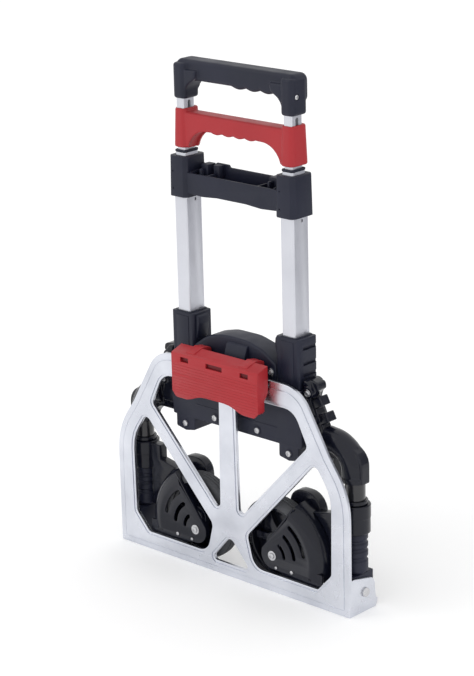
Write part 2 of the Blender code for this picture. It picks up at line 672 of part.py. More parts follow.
def make_bolt(name, x, z, depth):
    """A round-headed bolt in the cross member's front."""
    profile = [(0, depth - 3 * MM), (3.2 * MM, depth - 2.6 * MM), (5 * MM, depth - 1.2 * MM),
               (5 * MM, depth - FIT), (0, depth - FIT)]
    return turned(name, [(r, back(y)) for r, y in profile], "y", (x, 0, z), steel(), 16)


def make_bridge():
    """The upper cross-piece: two sockets on the outer tubes and an open trough between them."""
    front, rear = back(BRIDGE_FRONT), back(BRIDGE_BACK)
    inner = TUBE_X - BRIDGE_HALF + 2 * MM
    floor, wall_in = BRIDGE_LOW + 7 * MM, 3.5 * MM
    y0, y1 = front + 4 * MM, rear - 5 * MM
    channel = rounded([(y0, floor, 3 * MM), (y1, floor, 3 * MM),
                       (y1, BRIDGE_HIGH - 4 * MM, 1 * MM), (y1 - wall_in, BRIDGE_HIGH - 4 * MM, 1 * MM),
                       (y1 - wall_in, floor + 4 * MM, 2 * MM), (y0 + wall_in, floor + 4 * MM, 2 * MM),
                       (y0 + wall_in, floor + 32 * MM, 1 * MM), (y0, floor + 32 * MM, 1 * MM)])
    item = prism("bridge", [channel], "x", -inner, inner, black())
    side_shape = rounded([(front, BRIDGE_LOW, 4 * MM), (rear, BRIDGE_LOW, 4 * MM),
                          (rear, BRIDGE_HIGH + 1 * MM, 4 * MM),
                          (front, BRIDGE_HIGH, 5 * MM)])
    for side, way in SIDES:
        x = way * TUBE_X
        socket = prism("guide_bridge_" + side, [side_shape], "x", x - BRIDGE_HALF, x + BRIDGE_HALF, black())
        soften(socket, 3 * MM, angle=50)
        join(item, socket)
    for index, (low, high) in enumerate(((-62 * MM, -36 * MM), (-28 * MM, -14 * MM), (66 * MM, 88 * MM))):
        join(item, block("guide_block_%d" % index, (low, y0 + wall_in - 1 * MM, floor + 3 * MM),
                         (high, y1 - wall_in + 1 * MM, floor + 27 * MM), black()))
    for side, way in SIDES:
        x = way * TUBE_X
        cut(item, tube_cutter("cut_bridge_outer_" + side, x, OUTER_W, OUTER_D, FIT, BRIDGE_LOW - 5 * MM,
                              OUTER_HIGH + FIT),
            tube_cutter("cut_bridge_middle_" + side, x, MIDDLE_W, MIDDLE_D, RUN, OUTER_HIGH - 2 * MM,
                        BRIDGE_HIGH + 30 * MM))
    return item


# ---- sliding handle -----------------------------------------------------------------------------
def make_middle_cap(side, way):
    """The guide bush on top of a middle tube."""
    x = way * TUBE_X
    loops = [tube_loop(x, MIDDLE_W, MIDDLE_D, 3 * MM),
             tube_loop(x, INNER_W + 2 * RUN, INNER_D + 2 * RUN, 2 * MM)]
    return prism("tube_bush_" + side, loops, "z", MIDDLE_HIGH + FIT, MIDDLE_HIGH + 4 * MM, black())


def make_inner_tube(side, way):
    """The top tube, slotted so that the release handle can move its lock rod."""
    x = way * TUBE_X
    tube = make_tube("inner_tube_" + side, x, INNER_W, INNER_D, INNER_LOW, INNER_HIGH)
    slot = block("cut_slot_" + side, (x - 20 * MM, back(TUBE_DEPTH - 3 * MM), RELEASE_LOW + 17 * MM),
                 (x + 20 * MM, back(TUBE_DEPTH + 3 * MM), RELEASE_HIGH + 8 * MM), black())
    return cut(tube, slot)


def wavy(low, high, z, depth, lumps):
    """Points along a finger grip's underside, from high x to low x."""
    steps = lumps * 4
    return [(high + (low - high) * i / steps,
             z + depth * (1 - abs(math.sin(math.pi * lumps * i / steps)))) for i in range(steps + 1)]


def make_hand_bar(name, low, socket_high, bar_low, bar_high, bar_front, bar_back, lumps, material):
    """A cross handle: an end socket on each inner tube, and a finger bar between them."""
    reach = TUBE_X - HAND_HALF
    edge = TUBE_X + HAND_HALF
    under = wavy(-reach + 10 * MM, reach - 10 * MM, bar_low, 4 * MM, lumps)
    outline = [(reach - 4 * MM, bar_low - 14 * MM)] + under + [(-reach + 4 * MM, bar_low - 14 * MM)]
    outline += rounded([(-edge + 2 * MM, bar_low - 14 * MM, 0), (-edge + 2 * MM, bar_high, 12 * MM),
                        (edge - 2 * MM, bar_high, 12 * MM), (edge - 2 * MM, bar_low - 14 * MM, 0)])[::1]
    bar = prism(name, [outline], "y", back(bar_front), back(bar_back), material)
    soften(bar, 5 * MM, angle=50)
    for side, way in SIDES:
        x = way * TUBE_X
        outline = oblong(x, back(TUBE_DEPTH), 2 * HAND_HALF, HAND_DEPTH, 8 * MM)
        socket = prism("guide_%s_%s" % (name, side), [outline], "z", low, socket_high, material)
        soften(socket, 3 * MM, angle=50)
        join(bar, socket)
    return bar


def make_release_handle():
    handle = make_hand_bar("release_handle", RELEASE_LOW, RELEASE_HIGH, RELEASE_BAR_LOW, RELEASE_HIGH,
                           25 * MM, 57 * MM, 6, red())
    for side, way in SIDES:
        x = way * TUBE_X
        cut(handle, tube_cutter("cut_release_" + side, x, INNER_W, INNER_D, RUN, RELEASE_LOW - 5 * MM,
                                RELEASE_HIGH + 5 * MM))
    return handle


def make_grip():
    grip = make_hand_bar("grip", GRIP_LOW, GRIP_SOCKET_HIGH, GRIP_BAR_LOW, GRIP_HIGH, 27 * MM, 63 * MM, 5,
                         black())
    for side, way in SIDES:
        x = way * TUBE_X
        cut(grip, tube_cutter("cut_grip_" + side, x, INNER_W, INNER_D, FIT, GRIP_LOW - 5 * MM,
                              INNER_HIGH + FIT))
    return grip


def make_grip_screw(side, way):
    edge = TUBE_X + HAND_HALF + FIT
    profile = [(0, edge + 2 * MM), (3 * MM, edge + 1.6 * MM), (4 * MM, edge), (0, edge)]
    return turned("grip_screw_" + side, [(r, way * x) for r, x in profile], "x",
                  (0, back(TUBE_DEPTH - 4 * MM), GRIP_BAR_LOW), steel(), 16)


def make_lock_rod(side, way):
    """The flat rod inside a tube, and the cross pin that ties it to the release handle."""
    x = way * TUBE_X
    middle = back(TUBE_DEPTH)
    low, high = RELEASE_LOW - 263 * MM, RELEASE_LOW + 33 * MM
    rod = block("lock_rod_" + side, (x - 2 * MM, middle - 5 * MM, low + 4 * MM),
                (x + 2 * MM, middle + 5 * MM, high), steel())
    reach = INNER_W / 2 + RUN - FIT
    pin = block("guide_rod_pin_" + side, (x - reach, middle - 2 * MM, high - 10 * MM),
                (x + reach, middle + 2 * MM, high - 4 * MM), steel())
    catch = block("guide_rod_catch_" + side, (x - 4 * MM, middle - 4 * MM, low),
                  (x + INNER_W / 2 - TUBE_WALL - 0.7 * MM, middle + 4 * MM, low + 8 * MM), steel())
    return join(rod, pin, catch)


# ---- wheels -------------------------------------------------------------------------------------
def arc(cx, cz, radius, start, end, step=7.5):
    """Points on an arc between two angles in degrees."""
    count = max(1, round(abs(end - start) / step))
    angles = [math.radians(start + (end - start) * i / count) for i in range(count + 1)]
    return [(cx + radius * math.cos(a), cz + radius * math.sin(a)) for a in angles]


def guard_loop():
    """The right-hand guard's side outline in (x, z)."""
    end = math.degrees(math.asin((GUARD_LOW - GUARD_Z) / GUARD_R))
    loop = arc(GUARD_X, GUARD_Z, GUARD_R, end, GUARD_CORNER_ANGLE)
    return loop + arc(GUARD_X, GUARD_Z, GUARD_Z - GUARD_LOW, 158, 270, 15)


def inside_loop(radius):
    """The room inside the guard's curved wall, open below and towards the middle of the truck."""
    loop = arc(GUARD_X, GUARD_Z, radius, -40, GUARD_CORNER_ANGLE + 25)
    return loop + [(GUARD_X - 60 * MM, GUARD_Z + radius), (GUARD_X - 60 * MM, GUARD_LOW - 60 * MM),
                   (GUARD_X + 40 * MM, GUARD_LOW - 60 * MM)]


def slot_loop(radius):
    """A curved slot round the guard's bolt."""
    outer = arc(GUARD_X, GUARD_Z, radius + SLOT_WIDTH / 2, 10, 60, 10)
    inner = arc(GUARD_X, GUARD_Z, radius - SLOT_WIDTH / 2, 60, 10, 10)
    return outer + inner


def make_guard(side, way):
    """The wheel guard: a slotted front plate, and a curved wall that reaches back over the tyre."""
    def mirrored(loop):
        return [(way * x, z) for x, z in loop]

    front, rear = back(GUARD_FRONT), back(GUARD_BACK)
    guard = prism("wheel_guard_" + side, [mirrored(guard_loop())], "y", front, rear, black())
    soften(guard, 2.5 * MM, angle=60)
    cut(guard, prism("cut_guard_room_" + side, [mirrored(inside_loop(GUARD_R - GUARD_WALL))], "y",
                     front + GUARD_WALL, rear - GUARD_WALL, black()),
        prism("cut_guard_back_" + side, [mirrored(inside_loop(GUARD_R - GUARD_LIP))], "y",
              rear - GUARD_WALL - 1 * MM, rear + 5 * MM, black()))
    hub = turned("guide_guard_hub_" + side, [(0, 0), (14 * MM, 0), (12 * MM, 3 * MM), (0, 3 * MM)], "y",
                 (way * WHEEL_X, front + GUARD_WALL - 0.5 * MM, WHEEL_Z), black(), 16)
    join(guard, hub)
    for index, radius in enumerate(SLOT_RADII):
        cut(guard, prism("cut_guard_slot_%s_%d" % (side, index), [mirrored(slot_loop(radius))], "y",
                         front - 5 * MM, front + GUARD_WALL + 0.2 * MM, black()))
    profile = [(0, -5 * MM), (3.3 * MM, -5 * MM), (3.3 * MM, 10 * MM), (0, 10 * MM)]
    hole = turned("cut_guard_bolt_" + side, profile, "y", (way * GUARD_X, front, GUARD_Z), black(), 16)
    return cut(guard, hole)


def make_arm(side, way):
    """The sleeve that turns on the leg, with the web that carries the guard and the axle plate."""
    inner = LEG_R + RUN
    profile = [(inner, SLEEVE_LOW), (SLEEVE_R - 2 * MM, SLEEVE_LOW), (SLEEVE_R, SLEEVE_LOW + 2 * MM),
               (SLEEVE_R, SLEEVE_HIGH - 2 * MM), (SLEEVE_R - 2 * MM, SLEEVE_HIGH), (inner, SLEEVE_HIGH)]
    sleeve = turned("wheel_arm_" + side, profile, "z", (way * LEG_X, back(LEG_DEPTH), 0), black())
    gap = GUARD_R + FIT
    touch = arc(GUARD_X, GUARD_Z, gap, 4, 52)
    root = LEG_X - LEG_R - 4 * MM
    shelf, rib = LEG_X - SLEEVE_R - 18 * MM, LEG_X - SLEEVE_R + 3 * MM
    web = touch + [(shelf, SLEEVE_HIGH - 26 * MM), (shelf, SLEEVE_HIGH - 2 * MM),
                   (root, SLEEVE_HIGH - 2 * MM), (root, SLEEVE_LOW + 2 * MM),
                   (rib, SLEEVE_LOW - 4 * MM), (rib, touch[0][1])]
    loop = [(way * x, z) for x, z in web]
    join(sleeve, prism("guide_arm_web_" + side, [loop], "y", back(LEG_DEPTH - 9 * MM),
                       back(LEG_DEPTH + 9 * MM), black()))
    return sleeve


def make_axle(side, way):
    """A stub axle from the guard's plate through the wheel, with its end nut."""
    front = back(GUARD_FRONT) + GUARD_WALL + 3 * MM - 0.5 * MM + FIT
    end = back(TYRE_BACK + 12 * MM)
    profile = [(0, front), (9 * MM, front), (9 * MM, front + 0.8 * MM), (AXLE_R, front + 0.8 * MM),
               (AXLE_R, end - 6 * MM), (8 * MM, end - 6 * MM), (8 * MM, end - 1 * MM), (7 * MM, end),
               (0, end)]
    return turned("axle_" + side, profile, "y", (way * WHEEL_X, 0, WHEEL_Z), steel(), 16)


def make_guard_bolt(side, way):
    front = back(GUARD_FRONT) - FIT
    profile = [(0, front - 2.2 * MM), (4 * MM, front - 2.2 * MM), (5 * MM, front - 1.4 * MM),
               (5 * MM, front - 1 * MM), (8 * MM, front - 1 * MM), (8 * MM, front), (3 * MM, front),
               (3 * MM, front + 5 * MM), (0, front + 5 * MM)]
    return turned("guard_bolt_" + side, profile, "y", (way * GUARD_X, 0, GUARD_Z), steel(), 16)


def make_tyre(side, way):
    front, rear = back(TYRE_FRONT), back(TYRE_BACK)
    crown = 4 * MM
    inner = RIM_R + FIT
    profile = [(inner, front), (WHEEL_R - crown, front), (WHEEL_R - 1 * MM, front + crown),
               (WHEEL_R, (front + rear) / 2), (WHEEL_R - 1 * MM, rear - crown), (WHEEL_R - crown, rear),
               (inner, rear)]
    return turned("tyre_" + side, profile, "y", (way * WHEEL_X, 0, WHEEL_Z), rubber(), 36)


def make_rim(side, way):
    """A spoked plastic rim: a band, a hub that holds the bearing, and flat spokes."""
    centre = (way * WHEEL_X, 0, WHEEL_Z)
    front, rear = back(TYRE_FRONT + 3 * MM), back(TYRE_BACK - 3 * MM)
    rim = turned("rim_" + side, [(RIM_IN, front), (RIM_R, front), (RIM_R, rear), (RIM_IN, rear)], "y", centre,
                 black(), 36)
    hub_front, hub_rear = back(TYRE_FRONT + 1 * MM), back(TYRE_BACK + 4 * MM)
    bore = BEARING_R + FIT
    profile = [(bore, hub_front), (HUB_R, hub_front), (HUB_R, hub_rear), (bore, hub_rear)]
    hub = turned("guide_hub_" + side, profile, "y", centre, black(), 20)
    join(rim, hub)
    for index in range(SPOKES):
        angle = math.tau * index / SPOKES
        along = Vector((math.cos(angle), math.sin(angle)))
        across = Vector((-along.y, along.x))
        loop = []
        for reach, half in ((HUB_R - 2 * MM, -9 * MM), (RIM_IN + 2 * MM, -6 * MM), (RIM_IN + 2 * MM, 6 * MM),
                            (HUB_R - 2 * MM, 9 * MM)):
            point = along * reach + across * half
            loop.append((centre[0] + point.x, centre[2] + point.y))
        middle = (front + rear) / 2
        join(rim, prism("guide_spoke_%s_%d" % (side, index), [loop], "y", middle - 4 * MM,
                        middle + 4 * MM, black()))
    return rim


def make_bearing(side, way):
    front, rear = back(TYRE_FRONT + 1 * MM), back(TYRE_BACK + 4 * MM)
    inner = AXLE_R / math.cos(math.pi / 16) + 0.05 * MM
    profile = [(inner, front), (BEARING_R, front), (BEARING_R, rear), (inner, rear)]
    return turned("bearing_" + side, profile, "y", (way * WHEEL_X, 0, WHEEL_Z), steel(), 16)


# ---- the whole truck ----------------------------------------------------------------------------
def build():
    clear_scene()
    make_cross_member()
    make_arch_cover()
    make_bridge()
    for row, (x, z) in enumerate(((TUBE_X, TAB_LOW + 12 * MM), (45 * MM, CROSS_LOW + 11 * MM))):
        for side, way in SIDES:
            make_bolt("cross_bolt_%s_%d" % (side, row + 1), way * x, z, CROSS_FRONT)
    for side, way in SIDES:
        make_tube("outer_tube_" + side, way * TUBE_X, OUTER_W, OUTER_D, OUTER_LOW, OUTER_HIGH)
        make_socket(side, way)
        make_shoulder(side, way)
        make_leg(side, way)
        make_leg_collar(side, way)
        make_foot(side, way)
        make_pivot_bolt(side, way)

    toe_point = (0, back(PIVOT_DEPTH), PIVOT_HEIGHT)
    carried("toe_hinge", toe_point, [make_toe_plate(), make_latch_pin()])
    carried("latch_hinge", (0, back(LATCH_PIN_DEPTH), LATCH_PIN_HEIGHT), [make_latch()])

    middle, upper = [], [make_grip()]
    release = [make_release_handle()]
    for side, way in SIDES:
        x = way * TUBE_X
        middle.append(make_tube("middle_tube_" + side, x, MIDDLE_W, MIDDLE_D, MIDDLE_LOW, MIDDLE_HIGH))
        middle.append(make_middle_cap(side, way))
        upper.append(make_inner_tube(side, way))
        upper.append(make_grip_screw(side, way))
        release.append(make_lock_rod(side, way))
        arm = [make_arm(side, way), make_guard(side, way), make_axle(side, way), make_guard_bolt(side, way)]
        carried("arm_hinge_" + side, (way * LEG_X, back(LEG_DEPTH), SLEEVE_LOW), arm)
        wheel = [make_tyre(side, way), make_rim(side, way), make_bearing(side, way)]
        carried("wheel_hub_" + side, (way * WHEEL_X, back(TYRE_FRONT), WHEEL_Z), wheel)
    slide_point = (0, back(TUBE_DEPTH), MIDDLE_LOW)
    carried("middle_slide", slide_point, middle)
    carried("handle_slide", slide_point, upper)
    carried("release_slide", slide_point, release)
    bpy.context.view_layer.update()


build()
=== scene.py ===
# %% [markdown]
# # A folding hand truck, stood folded
#
# The truck stands on the edge of its toe plate with its wheels folded in behind it and its handle
# pushed down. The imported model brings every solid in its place. This lesson gives each of them the
# surface of the real thing: rounded mouldings, pressed metal, grooves, screws and tyres.
#
# Lengths here are typed in millimetres. Depth is counted back from the toe plate's face, as a maker
# would measure it, and `spot` turns such a triple into a place in the scene.

import math

import bpy
from mathutils import Matrix, Vector


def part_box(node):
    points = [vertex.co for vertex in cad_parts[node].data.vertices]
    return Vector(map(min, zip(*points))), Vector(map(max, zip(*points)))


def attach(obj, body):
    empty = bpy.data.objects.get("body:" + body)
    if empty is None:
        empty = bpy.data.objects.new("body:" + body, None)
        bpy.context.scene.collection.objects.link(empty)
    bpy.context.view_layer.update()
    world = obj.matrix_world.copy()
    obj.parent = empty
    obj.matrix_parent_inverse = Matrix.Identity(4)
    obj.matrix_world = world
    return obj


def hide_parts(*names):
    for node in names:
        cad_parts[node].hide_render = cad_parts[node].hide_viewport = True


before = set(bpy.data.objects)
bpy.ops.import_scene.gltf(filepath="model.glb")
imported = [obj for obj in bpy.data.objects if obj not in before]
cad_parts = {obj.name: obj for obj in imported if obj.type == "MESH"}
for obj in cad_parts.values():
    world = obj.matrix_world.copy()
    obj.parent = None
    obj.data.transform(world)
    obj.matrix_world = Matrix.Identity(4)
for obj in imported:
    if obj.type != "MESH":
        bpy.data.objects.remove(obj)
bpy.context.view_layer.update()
MM = 0.001
tube_low, tube_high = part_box("outer_tube_left")
TUBE_DEPTH = 41.5
FACE = (tube_low.y + tube_high.y) / 2 - TUBE_DEPTH * MM
SIDES = (("left", -1), ("right", 1))


def spot(x, depth, z):
    """A place in the scene, from millimetres."""
    return Vector((x * MM, FACE + depth * MM, z * MM))


# %% [markdown]
# ## Working by hand, in code
#
# An operator acts on whatever is selected, and the loaded solids are all selected at first. So each
# step begins by selecting exactly one thing. Modifiers are applied as soon as they are set, because
# a finished piece keeps its whole shape in its own mesh.

# %% selecting and applying
def pick(*pieces):
    """Select only these; the last one is the active one."""
    bpy.ops.object.select_all(action="DESELECT")
    for piece in pieces:
        piece.select_set(True)
    bpy.context.view_layer.objects.active = pieces[-1]
    return pieces[-1]


def apply_modifiers(piece):
    pick(piece)
    for modifier in list(piece.modifiers):
        bpy.ops.object.modifier_apply(modifier=modifier.name)
    return piece


def tidy_mesh(piece, merge=0.01):
    """Join doubled points and turn every face outwards."""
    pick(piece)
    bpy.ops.object.mode_set(mode="EDIT")
    bpy.ops.mesh.select_all(action="SELECT")
    bpy.ops.mesh.remove_doubles(threshold=merge * MM)
    bpy.ops.mesh.normals_make_consistent(inside=False)
    bpy.ops.object.mode_set(mode="OBJECT")
    return piece


def settle(piece):
    """Put the place and the turn of a piece into its mesh."""
    pick(piece)
    bpy.ops.object.transform_apply(location=True, rotation=True, scale=True)
    return piece


pick(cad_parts["grip"])
print("operators act on one piece at a time")

# %% [markdown]
# ## Outlines with rounded corners
#
# Most parts of the truck are flat shapes with a thickness: the toe plate, the guards, the brackets.
# They could be cut from a cube, but it is simpler to say where the corners are and how round each
# one is. `rounded` walks along such corners and puts a small arc at each.

# %% outlines
def rounded(corners, step=12):
    """Points of a closed outline from (u, v, radius) corners."""
    points = []
    for index, (u, v, radius) in enumerate(corners):
        here = Vector((u, v))
        before = (Vector(corners[index - 1][:2]) - here).normalized()
        after = (Vector(corners[(index + 1) % len(corners)][:2]) - here).normalized()
        half = before.angle(after) / 2
        if radius <= 0 or half > math.radians(88):
            points.append((u, v))
            continue
        start = here + before * (radius / math.tan(half))
        centre = here + (before + after).normalized() * (radius / math.sin(half))
        turn = math.pi - 2 * half
        count = max(2, round(math.degrees(turn) / step))
        way = 1 if before.cross(after) < 0 else -1
        for number in range(count + 1):
            spoke = Matrix.Rotation(way * turn * number / count, 2) @ (start - centre)
            points.append(tuple(centre + spoke))
    return points


def arc(u, v, radius, start, end, step=5):
    count = max(2, round(abs(end - start) / step))
    angles = [math.radians(start + (end - start) * i / count) for i in range(count + 1)]
    return [(u + radius * math.cos(a), v + radius * math.sin(a)) for a in angles]


def oblong(u, v, wide, high, radius):
    left, right, low, top = u - wide / 2, u + wide / 2, v - high / 2, v + high / 2
    return rounded([(left, low, radius), (right, low, radius), (right, top, radius), (left, top, radius)])


def offset_loop(loop, distance):
    """The same outline moved outwards (or inwards, below zero), point by point."""
    count = len(loop)
    area = sum(a[0] * b[1] - b[0] * a[1] for a, b in zip(loop, loop[1:] + loop[:1]))
    way = 1 if area > 0 else -1
    moved = []
    for index, point in enumerate(loop):
        here = Vector(point)
        before = (here - Vector(loop[index - 1])).normalized()
        after = (Vector(loop[(index + 1) % count]) - here).normalized()
        out = Vector((before.y + after.y, -before.x - after.x)).normalized() * way
        stretch = max(0.5, math.cos(before.angle(after, 0) / 2))
        moved.append(tuple(here + out * distance / stretch))
    return moved


def mirrored(loop):
    return [(-u, v) for u, v in reversed(loop)]


print("a 10 mm corner has", len(rounded([(0, 0, 10), (50, 0, 0), (50, 50, 0), (0, 50, 0)])), "points")

# %% [markdown]
# ## Boards: an outline with a thickness and soft edges
#
# A flat curve in Blender fills itself, holes included, and its bevel rounds both of its faces'
# edges in one go. That rounding is what catches the light along every edge of a real moulding. The
# curve is then converted to a mesh and laid in one of three planes.

# %% boards
PLANES = {
    "xz": lambda u, v, w: spot(u, w, v),     # seen from the front, thick in depth
    "yz": lambda u, v, w: spot(w, u, v),     # seen from the side, thick in width
    "xy": lambda u, v, w: spot(u, v, w),     # seen from above, thick in height
}


def board(name, loops, plane, low, high, rounding=1.0, steps=2):
    """A plate between two distances, from an outline and, after it, the outlines of its holes."""
    flat = bpy.data.curves.new(name, "CURVE")
    flat.dimensions = "2D"
    flat.fill_mode = "BOTH"
    rounding = min(rounding, (high - low) / 2 - 0.01)
    flat.extrude = (high - low) / 2 - rounding
    flat.bevel_depth = rounding
    flat.bevel_resolution = steps
    flat.offset = -rounding
    for loop in loops:
        line = flat.splines.new("POLY")
        line.points.add(len(loop) - 1)
        for point, (u, v) in zip(line.points, loop):
            point.co = (u, v, 0, 1)
        line.use_cyclic_u = True
    piece = bpy.data.objects.new(name, flat)
    bpy.context.scene.collection.objects.link(piece)
    pick(piece)
    bpy.ops.object.convert(target="MESH")
    piece = bpy.context.view_layer.objects.active
    middle = (low + high) / 2
    for vertex in piece.data.vertices:
        u, v, w = vertex.co
        vertex.co = PLANES[plane](u, v, middle + w)
    return tidy_mesh(piece)


def turned(name, profile, axis, x, depth, z, steps=48):
    """A closed (radius, along) profile spun a whole turn round an axis through a place."""
    centre = spot(x, depth, z)
    along, out = {"x": ((1, 0, 0), (0, 0, 1)), "y": ((0, 1, 0), (0, 0, 1)), "z": ((0, 0, 1), (1, 0, 0))}[axis]
    points = [centre + Vector(out) * radius * MM + Vector(along) * reach * MM for radius, reach in profile]
    closed = profile[0][0] > 0
    edges = [(i, i + 1) for i in range(len(points) - 1)] + ([(len(points) - 1, 0)] if closed else [])
    mesh = bpy.data.meshes.new(name)
    mesh.from_pydata(points, edges, [])
    piece = bpy.data.objects.new(name, mesh)
    bpy.context.scene.collection.objects.link(piece)
    pick(piece)
    bpy.ops.object.mode_set(mode="EDIT")
    bpy.ops.mesh.select_all(action="SELECT")
    bpy.ops.mesh.spin(steps=steps, angle=math.tau, center=centre, axis=along)
    bpy.ops.object.mode_set(mode="OBJECT")
    return tidy_mesh(piece, 0.02)


def block(name, low, high, edge=0.6):
    """A cube put between two corners, in millimetres, with its edges bevelled."""
    a, b = spot(*low), spot(*high)
    bpy.ops.object.select_all(action="DESELECT")
    bpy.ops.mesh.primitive_cube_add(size=1, location=(a + b) / 2)
    piece = bpy.context.view_layer.objects.active
    piece.name = name
    piece.scale = [abs(value) for value in (b - a)]
    settle(piece)
    if edge:
        bevel = piece.modifiers.new("edge", "BEVEL")
        bevel.width = edge * MM
        bevel.segments = 2
        apply_modifiers(piece)
    return piece


def copy_of(piece, name):
    twin = piece.copy()
    twin.data = piece.data.copy()
    twin.name = name
    bpy.context.scene.collection.objects.link(twin)
    return twin


def mirror_of(piece, name):
    """The other side's piece, with its own mesh and its faces turned outwards again."""
    twin = copy_of(piece, name)
    twin.data.transform(Matrix.Scale(-1, 4, (1, 0, 0)))
    twin.data.flip_normals()
    return twin


print("planes to lay a board in:", ", ".join(PLANES))

# %% [markdown]
# ## Joining and cutting
#
# Two closed shapes can be joined in two ways. A Boolean keeps their edges crisp, which suits cut
# metal. Its manifold solver gives back a closed shape whenever both shapes are closed. A voxel
# remesh, smoothed a little, melts them into one skin with a soft fillet at every inner corner, and
# that is just what an injection mould leaves on plastic.

# %% joining and cutting
def boolean(piece, others, operation):
    """Join or cut with each of the others, which are used up."""
    for other in others:
        step = piece.modifiers.new("boolean", "BOOLEAN")
        step.operation = operation
        step.solver = "MANIFOLD"
        step.object = other
        apply_modifiers(piece)
        bpy.data.objects.remove(other)
    return piece


def weld(piece, *others):
    """Crisp union."""
    return boolean(piece, others, "UNION")


def carve(piece, *tools):
    """Crisp cut."""
    return boolean(piece, tools, "DIFFERENCE")


def melt(piece, *others, grain=1.1, passes=4):
    """One moulded skin over all the shapes."""
    if others:
        pick(*others, piece)
        bpy.ops.object.join()
    remesh = piece.modifiers.new("melt", "REMESH")
    remesh.mode = "VOXEL"
    remesh.voxel_size = grain * MM
    smooth = piece.modifiers.new("ease", "SMOOTH")
    smooth.factor = 0.5
    smooth.iterations = passes
    apply_modifiers(piece)
    return piece


print("welding, carving and melting are ready")

# %% [markdown]
# ## Materials
#
# Each finish is a Principled shader with a little procedural texture on Object coordinates, which
# are the same metres for every piece. Plastic gets the fine grain of an etched mould and a slow
# change in gloss. Metal gets the long scratches of rolling or drawing.

# %% a base for every finish
def finish(name, colour, roughness, metallic=0.0):
    """A material with one shader, and its texture coordinates."""
    material = bpy.data.materials.new(name)
    material.use_nodes = True
    nodes = material.node_tree.nodes
    shader = nodes["Principled BSDF"]
    shader.inputs["Base Color"].default_value = (*colour, 1)
    shader.inputs["Roughness"].default_value = roughness
    shader.inputs["Metallic"].default_value = metallic
    shader.inputs["Specular IOR Level"].default_value = 0.35
    return material, nodes, material.node_tree.links, shader, nodes.new("ShaderNodeTexCoord")


def noise(nodes, links, coordinates, scale, stretch=(1, 1, 1), detail=3.0):
    """Noise over Object coordinates, drawn out along an axis where the stretch is small."""
    mapping = nodes.new("ShaderNodeMapping")
    mapping.inputs["Scale"].default_value = stretch
    links.new(coordinates.outputs["Object"], mapping.inputs["Vector"])
    texture = nodes.new("ShaderNodeTexNoise")
    texture.inputs["Scale"].default_value = scale
    texture.inputs["Detail"].default_value = detail
    links.new(mapping.outputs["Vector"], texture.inputs["Vector"])
    return texture


def spread(nodes, links, texture, low, high, target):
    """Maps a noise onto a range of numbers, such as roughness."""
    ramp = nodes.new("ShaderNodeMapRange")
    ramp.inputs["From Min"].default_value = 0.3
    ramp.inputs["From Max"].default_value = 0.7
    ramp.inputs["To Min"].default_value = low
    ramp.inputs["To Max"].default_value = high
    links.new(texture.outputs["Fac"], ramp.inputs["Value"])
    links.new(ramp.outputs["Result"], target)


def tint(nodes, links, texture, dark, light, shader):
    """Two shades of one colour, mixed by a noise."""
    ramp = nodes.new("ShaderNodeValToRGB")
    ramp.color_ramp.elements[0].position = 0.3
    ramp.color_ramp.elements[0].color = (*dark, 1)
    ramp.color_ramp.elements[1].position = 0.7
    ramp.color_ramp.elements[1].color = (*light, 1)
    links.new(texture.outputs["Fac"], ramp.inputs["Fac"])
    links.new(ramp.outputs["Color"], shader.inputs["Base Color"])


def relief(nodes, links, texture, depth, shader, strength=0.5):
    """A noise as fine bumps, this many millimetres deep."""
    bump = nodes.new("ShaderNodeBump")
    bump.inputs["Strength"].default_value = strength
    bump.inputs["Distance"].default_value = depth * MM
    links.new(texture.outputs["Fac"], bump.inputs["Height"])
    links.new(bump.outputs["Normal"], shader.inputs["Normal"])


# %% plastics
def plastic(name, dark, light, gloss, grain, depth):
    """Two close shades, a slow change of gloss and the grain of the mould."""
    material, nodes, links, shader, place = finish(name, dark, gloss[0])
    tint(nodes, links, noise(nodes, links, place, 9, detail=2.0), dark, light, shader)
    spread(nodes, links, noise(nodes, links, place, 35), gloss[0], gloss[1], shader.inputs["Roughness"])
    relief(nodes, links, noise(nodes, links, place, grain), depth, shader)
    return material


etched_black = plastic("etched_black", (0.006, 0.008, 0.020), (0.010, 0.012, 0.029), (0.42, 0.55), 2600, 0.05)
gloss_black = plastic("gloss_black", (0.004, 0.005, 0.011), (0.007, 0.008, 0.016), (0.16, 0.24), 260, 0.02)
moulded_red = plastic("moulded_red", (0.36, 0.018, 0.024), (0.41, 0.022, 0.029), (0.40, 0.52), 2200, 0.04)
# A much darker copy of the latch's red, used as painted shade behind the latch's slots.
painted_shade_red = plastic("painted_shade_red", (0.10, 0.001, 0.004), (0.13, 0.002, 0.006), (0.45, 0.55), 2200, 0.04)
print("plastics:", etched_black.name, gloss_black.name, moulded_red.name, painted_shade_red.name)


# %% metals and rubber
def metal(name, dark, light, gloss, scale, stretch, depth):
    """Cloudy metal with fine scratches, long where the stretch is small."""
    material, nodes, links, shader, place = finish(name, light, gloss[0], 1.0)
    tint(nodes, links, noise(nodes, links, place, 14, detail=5.0), dark, light, shader)
    wear = noise(nodes, links, place, 22, detail=6.0)
    spread(nodes, links, wear, gloss[0], gloss[1], shader.inputs["Roughness"])
    relief(nodes, links, noise(nodes, links, place, scale, stretch), depth, shader, 0.35)
    return material


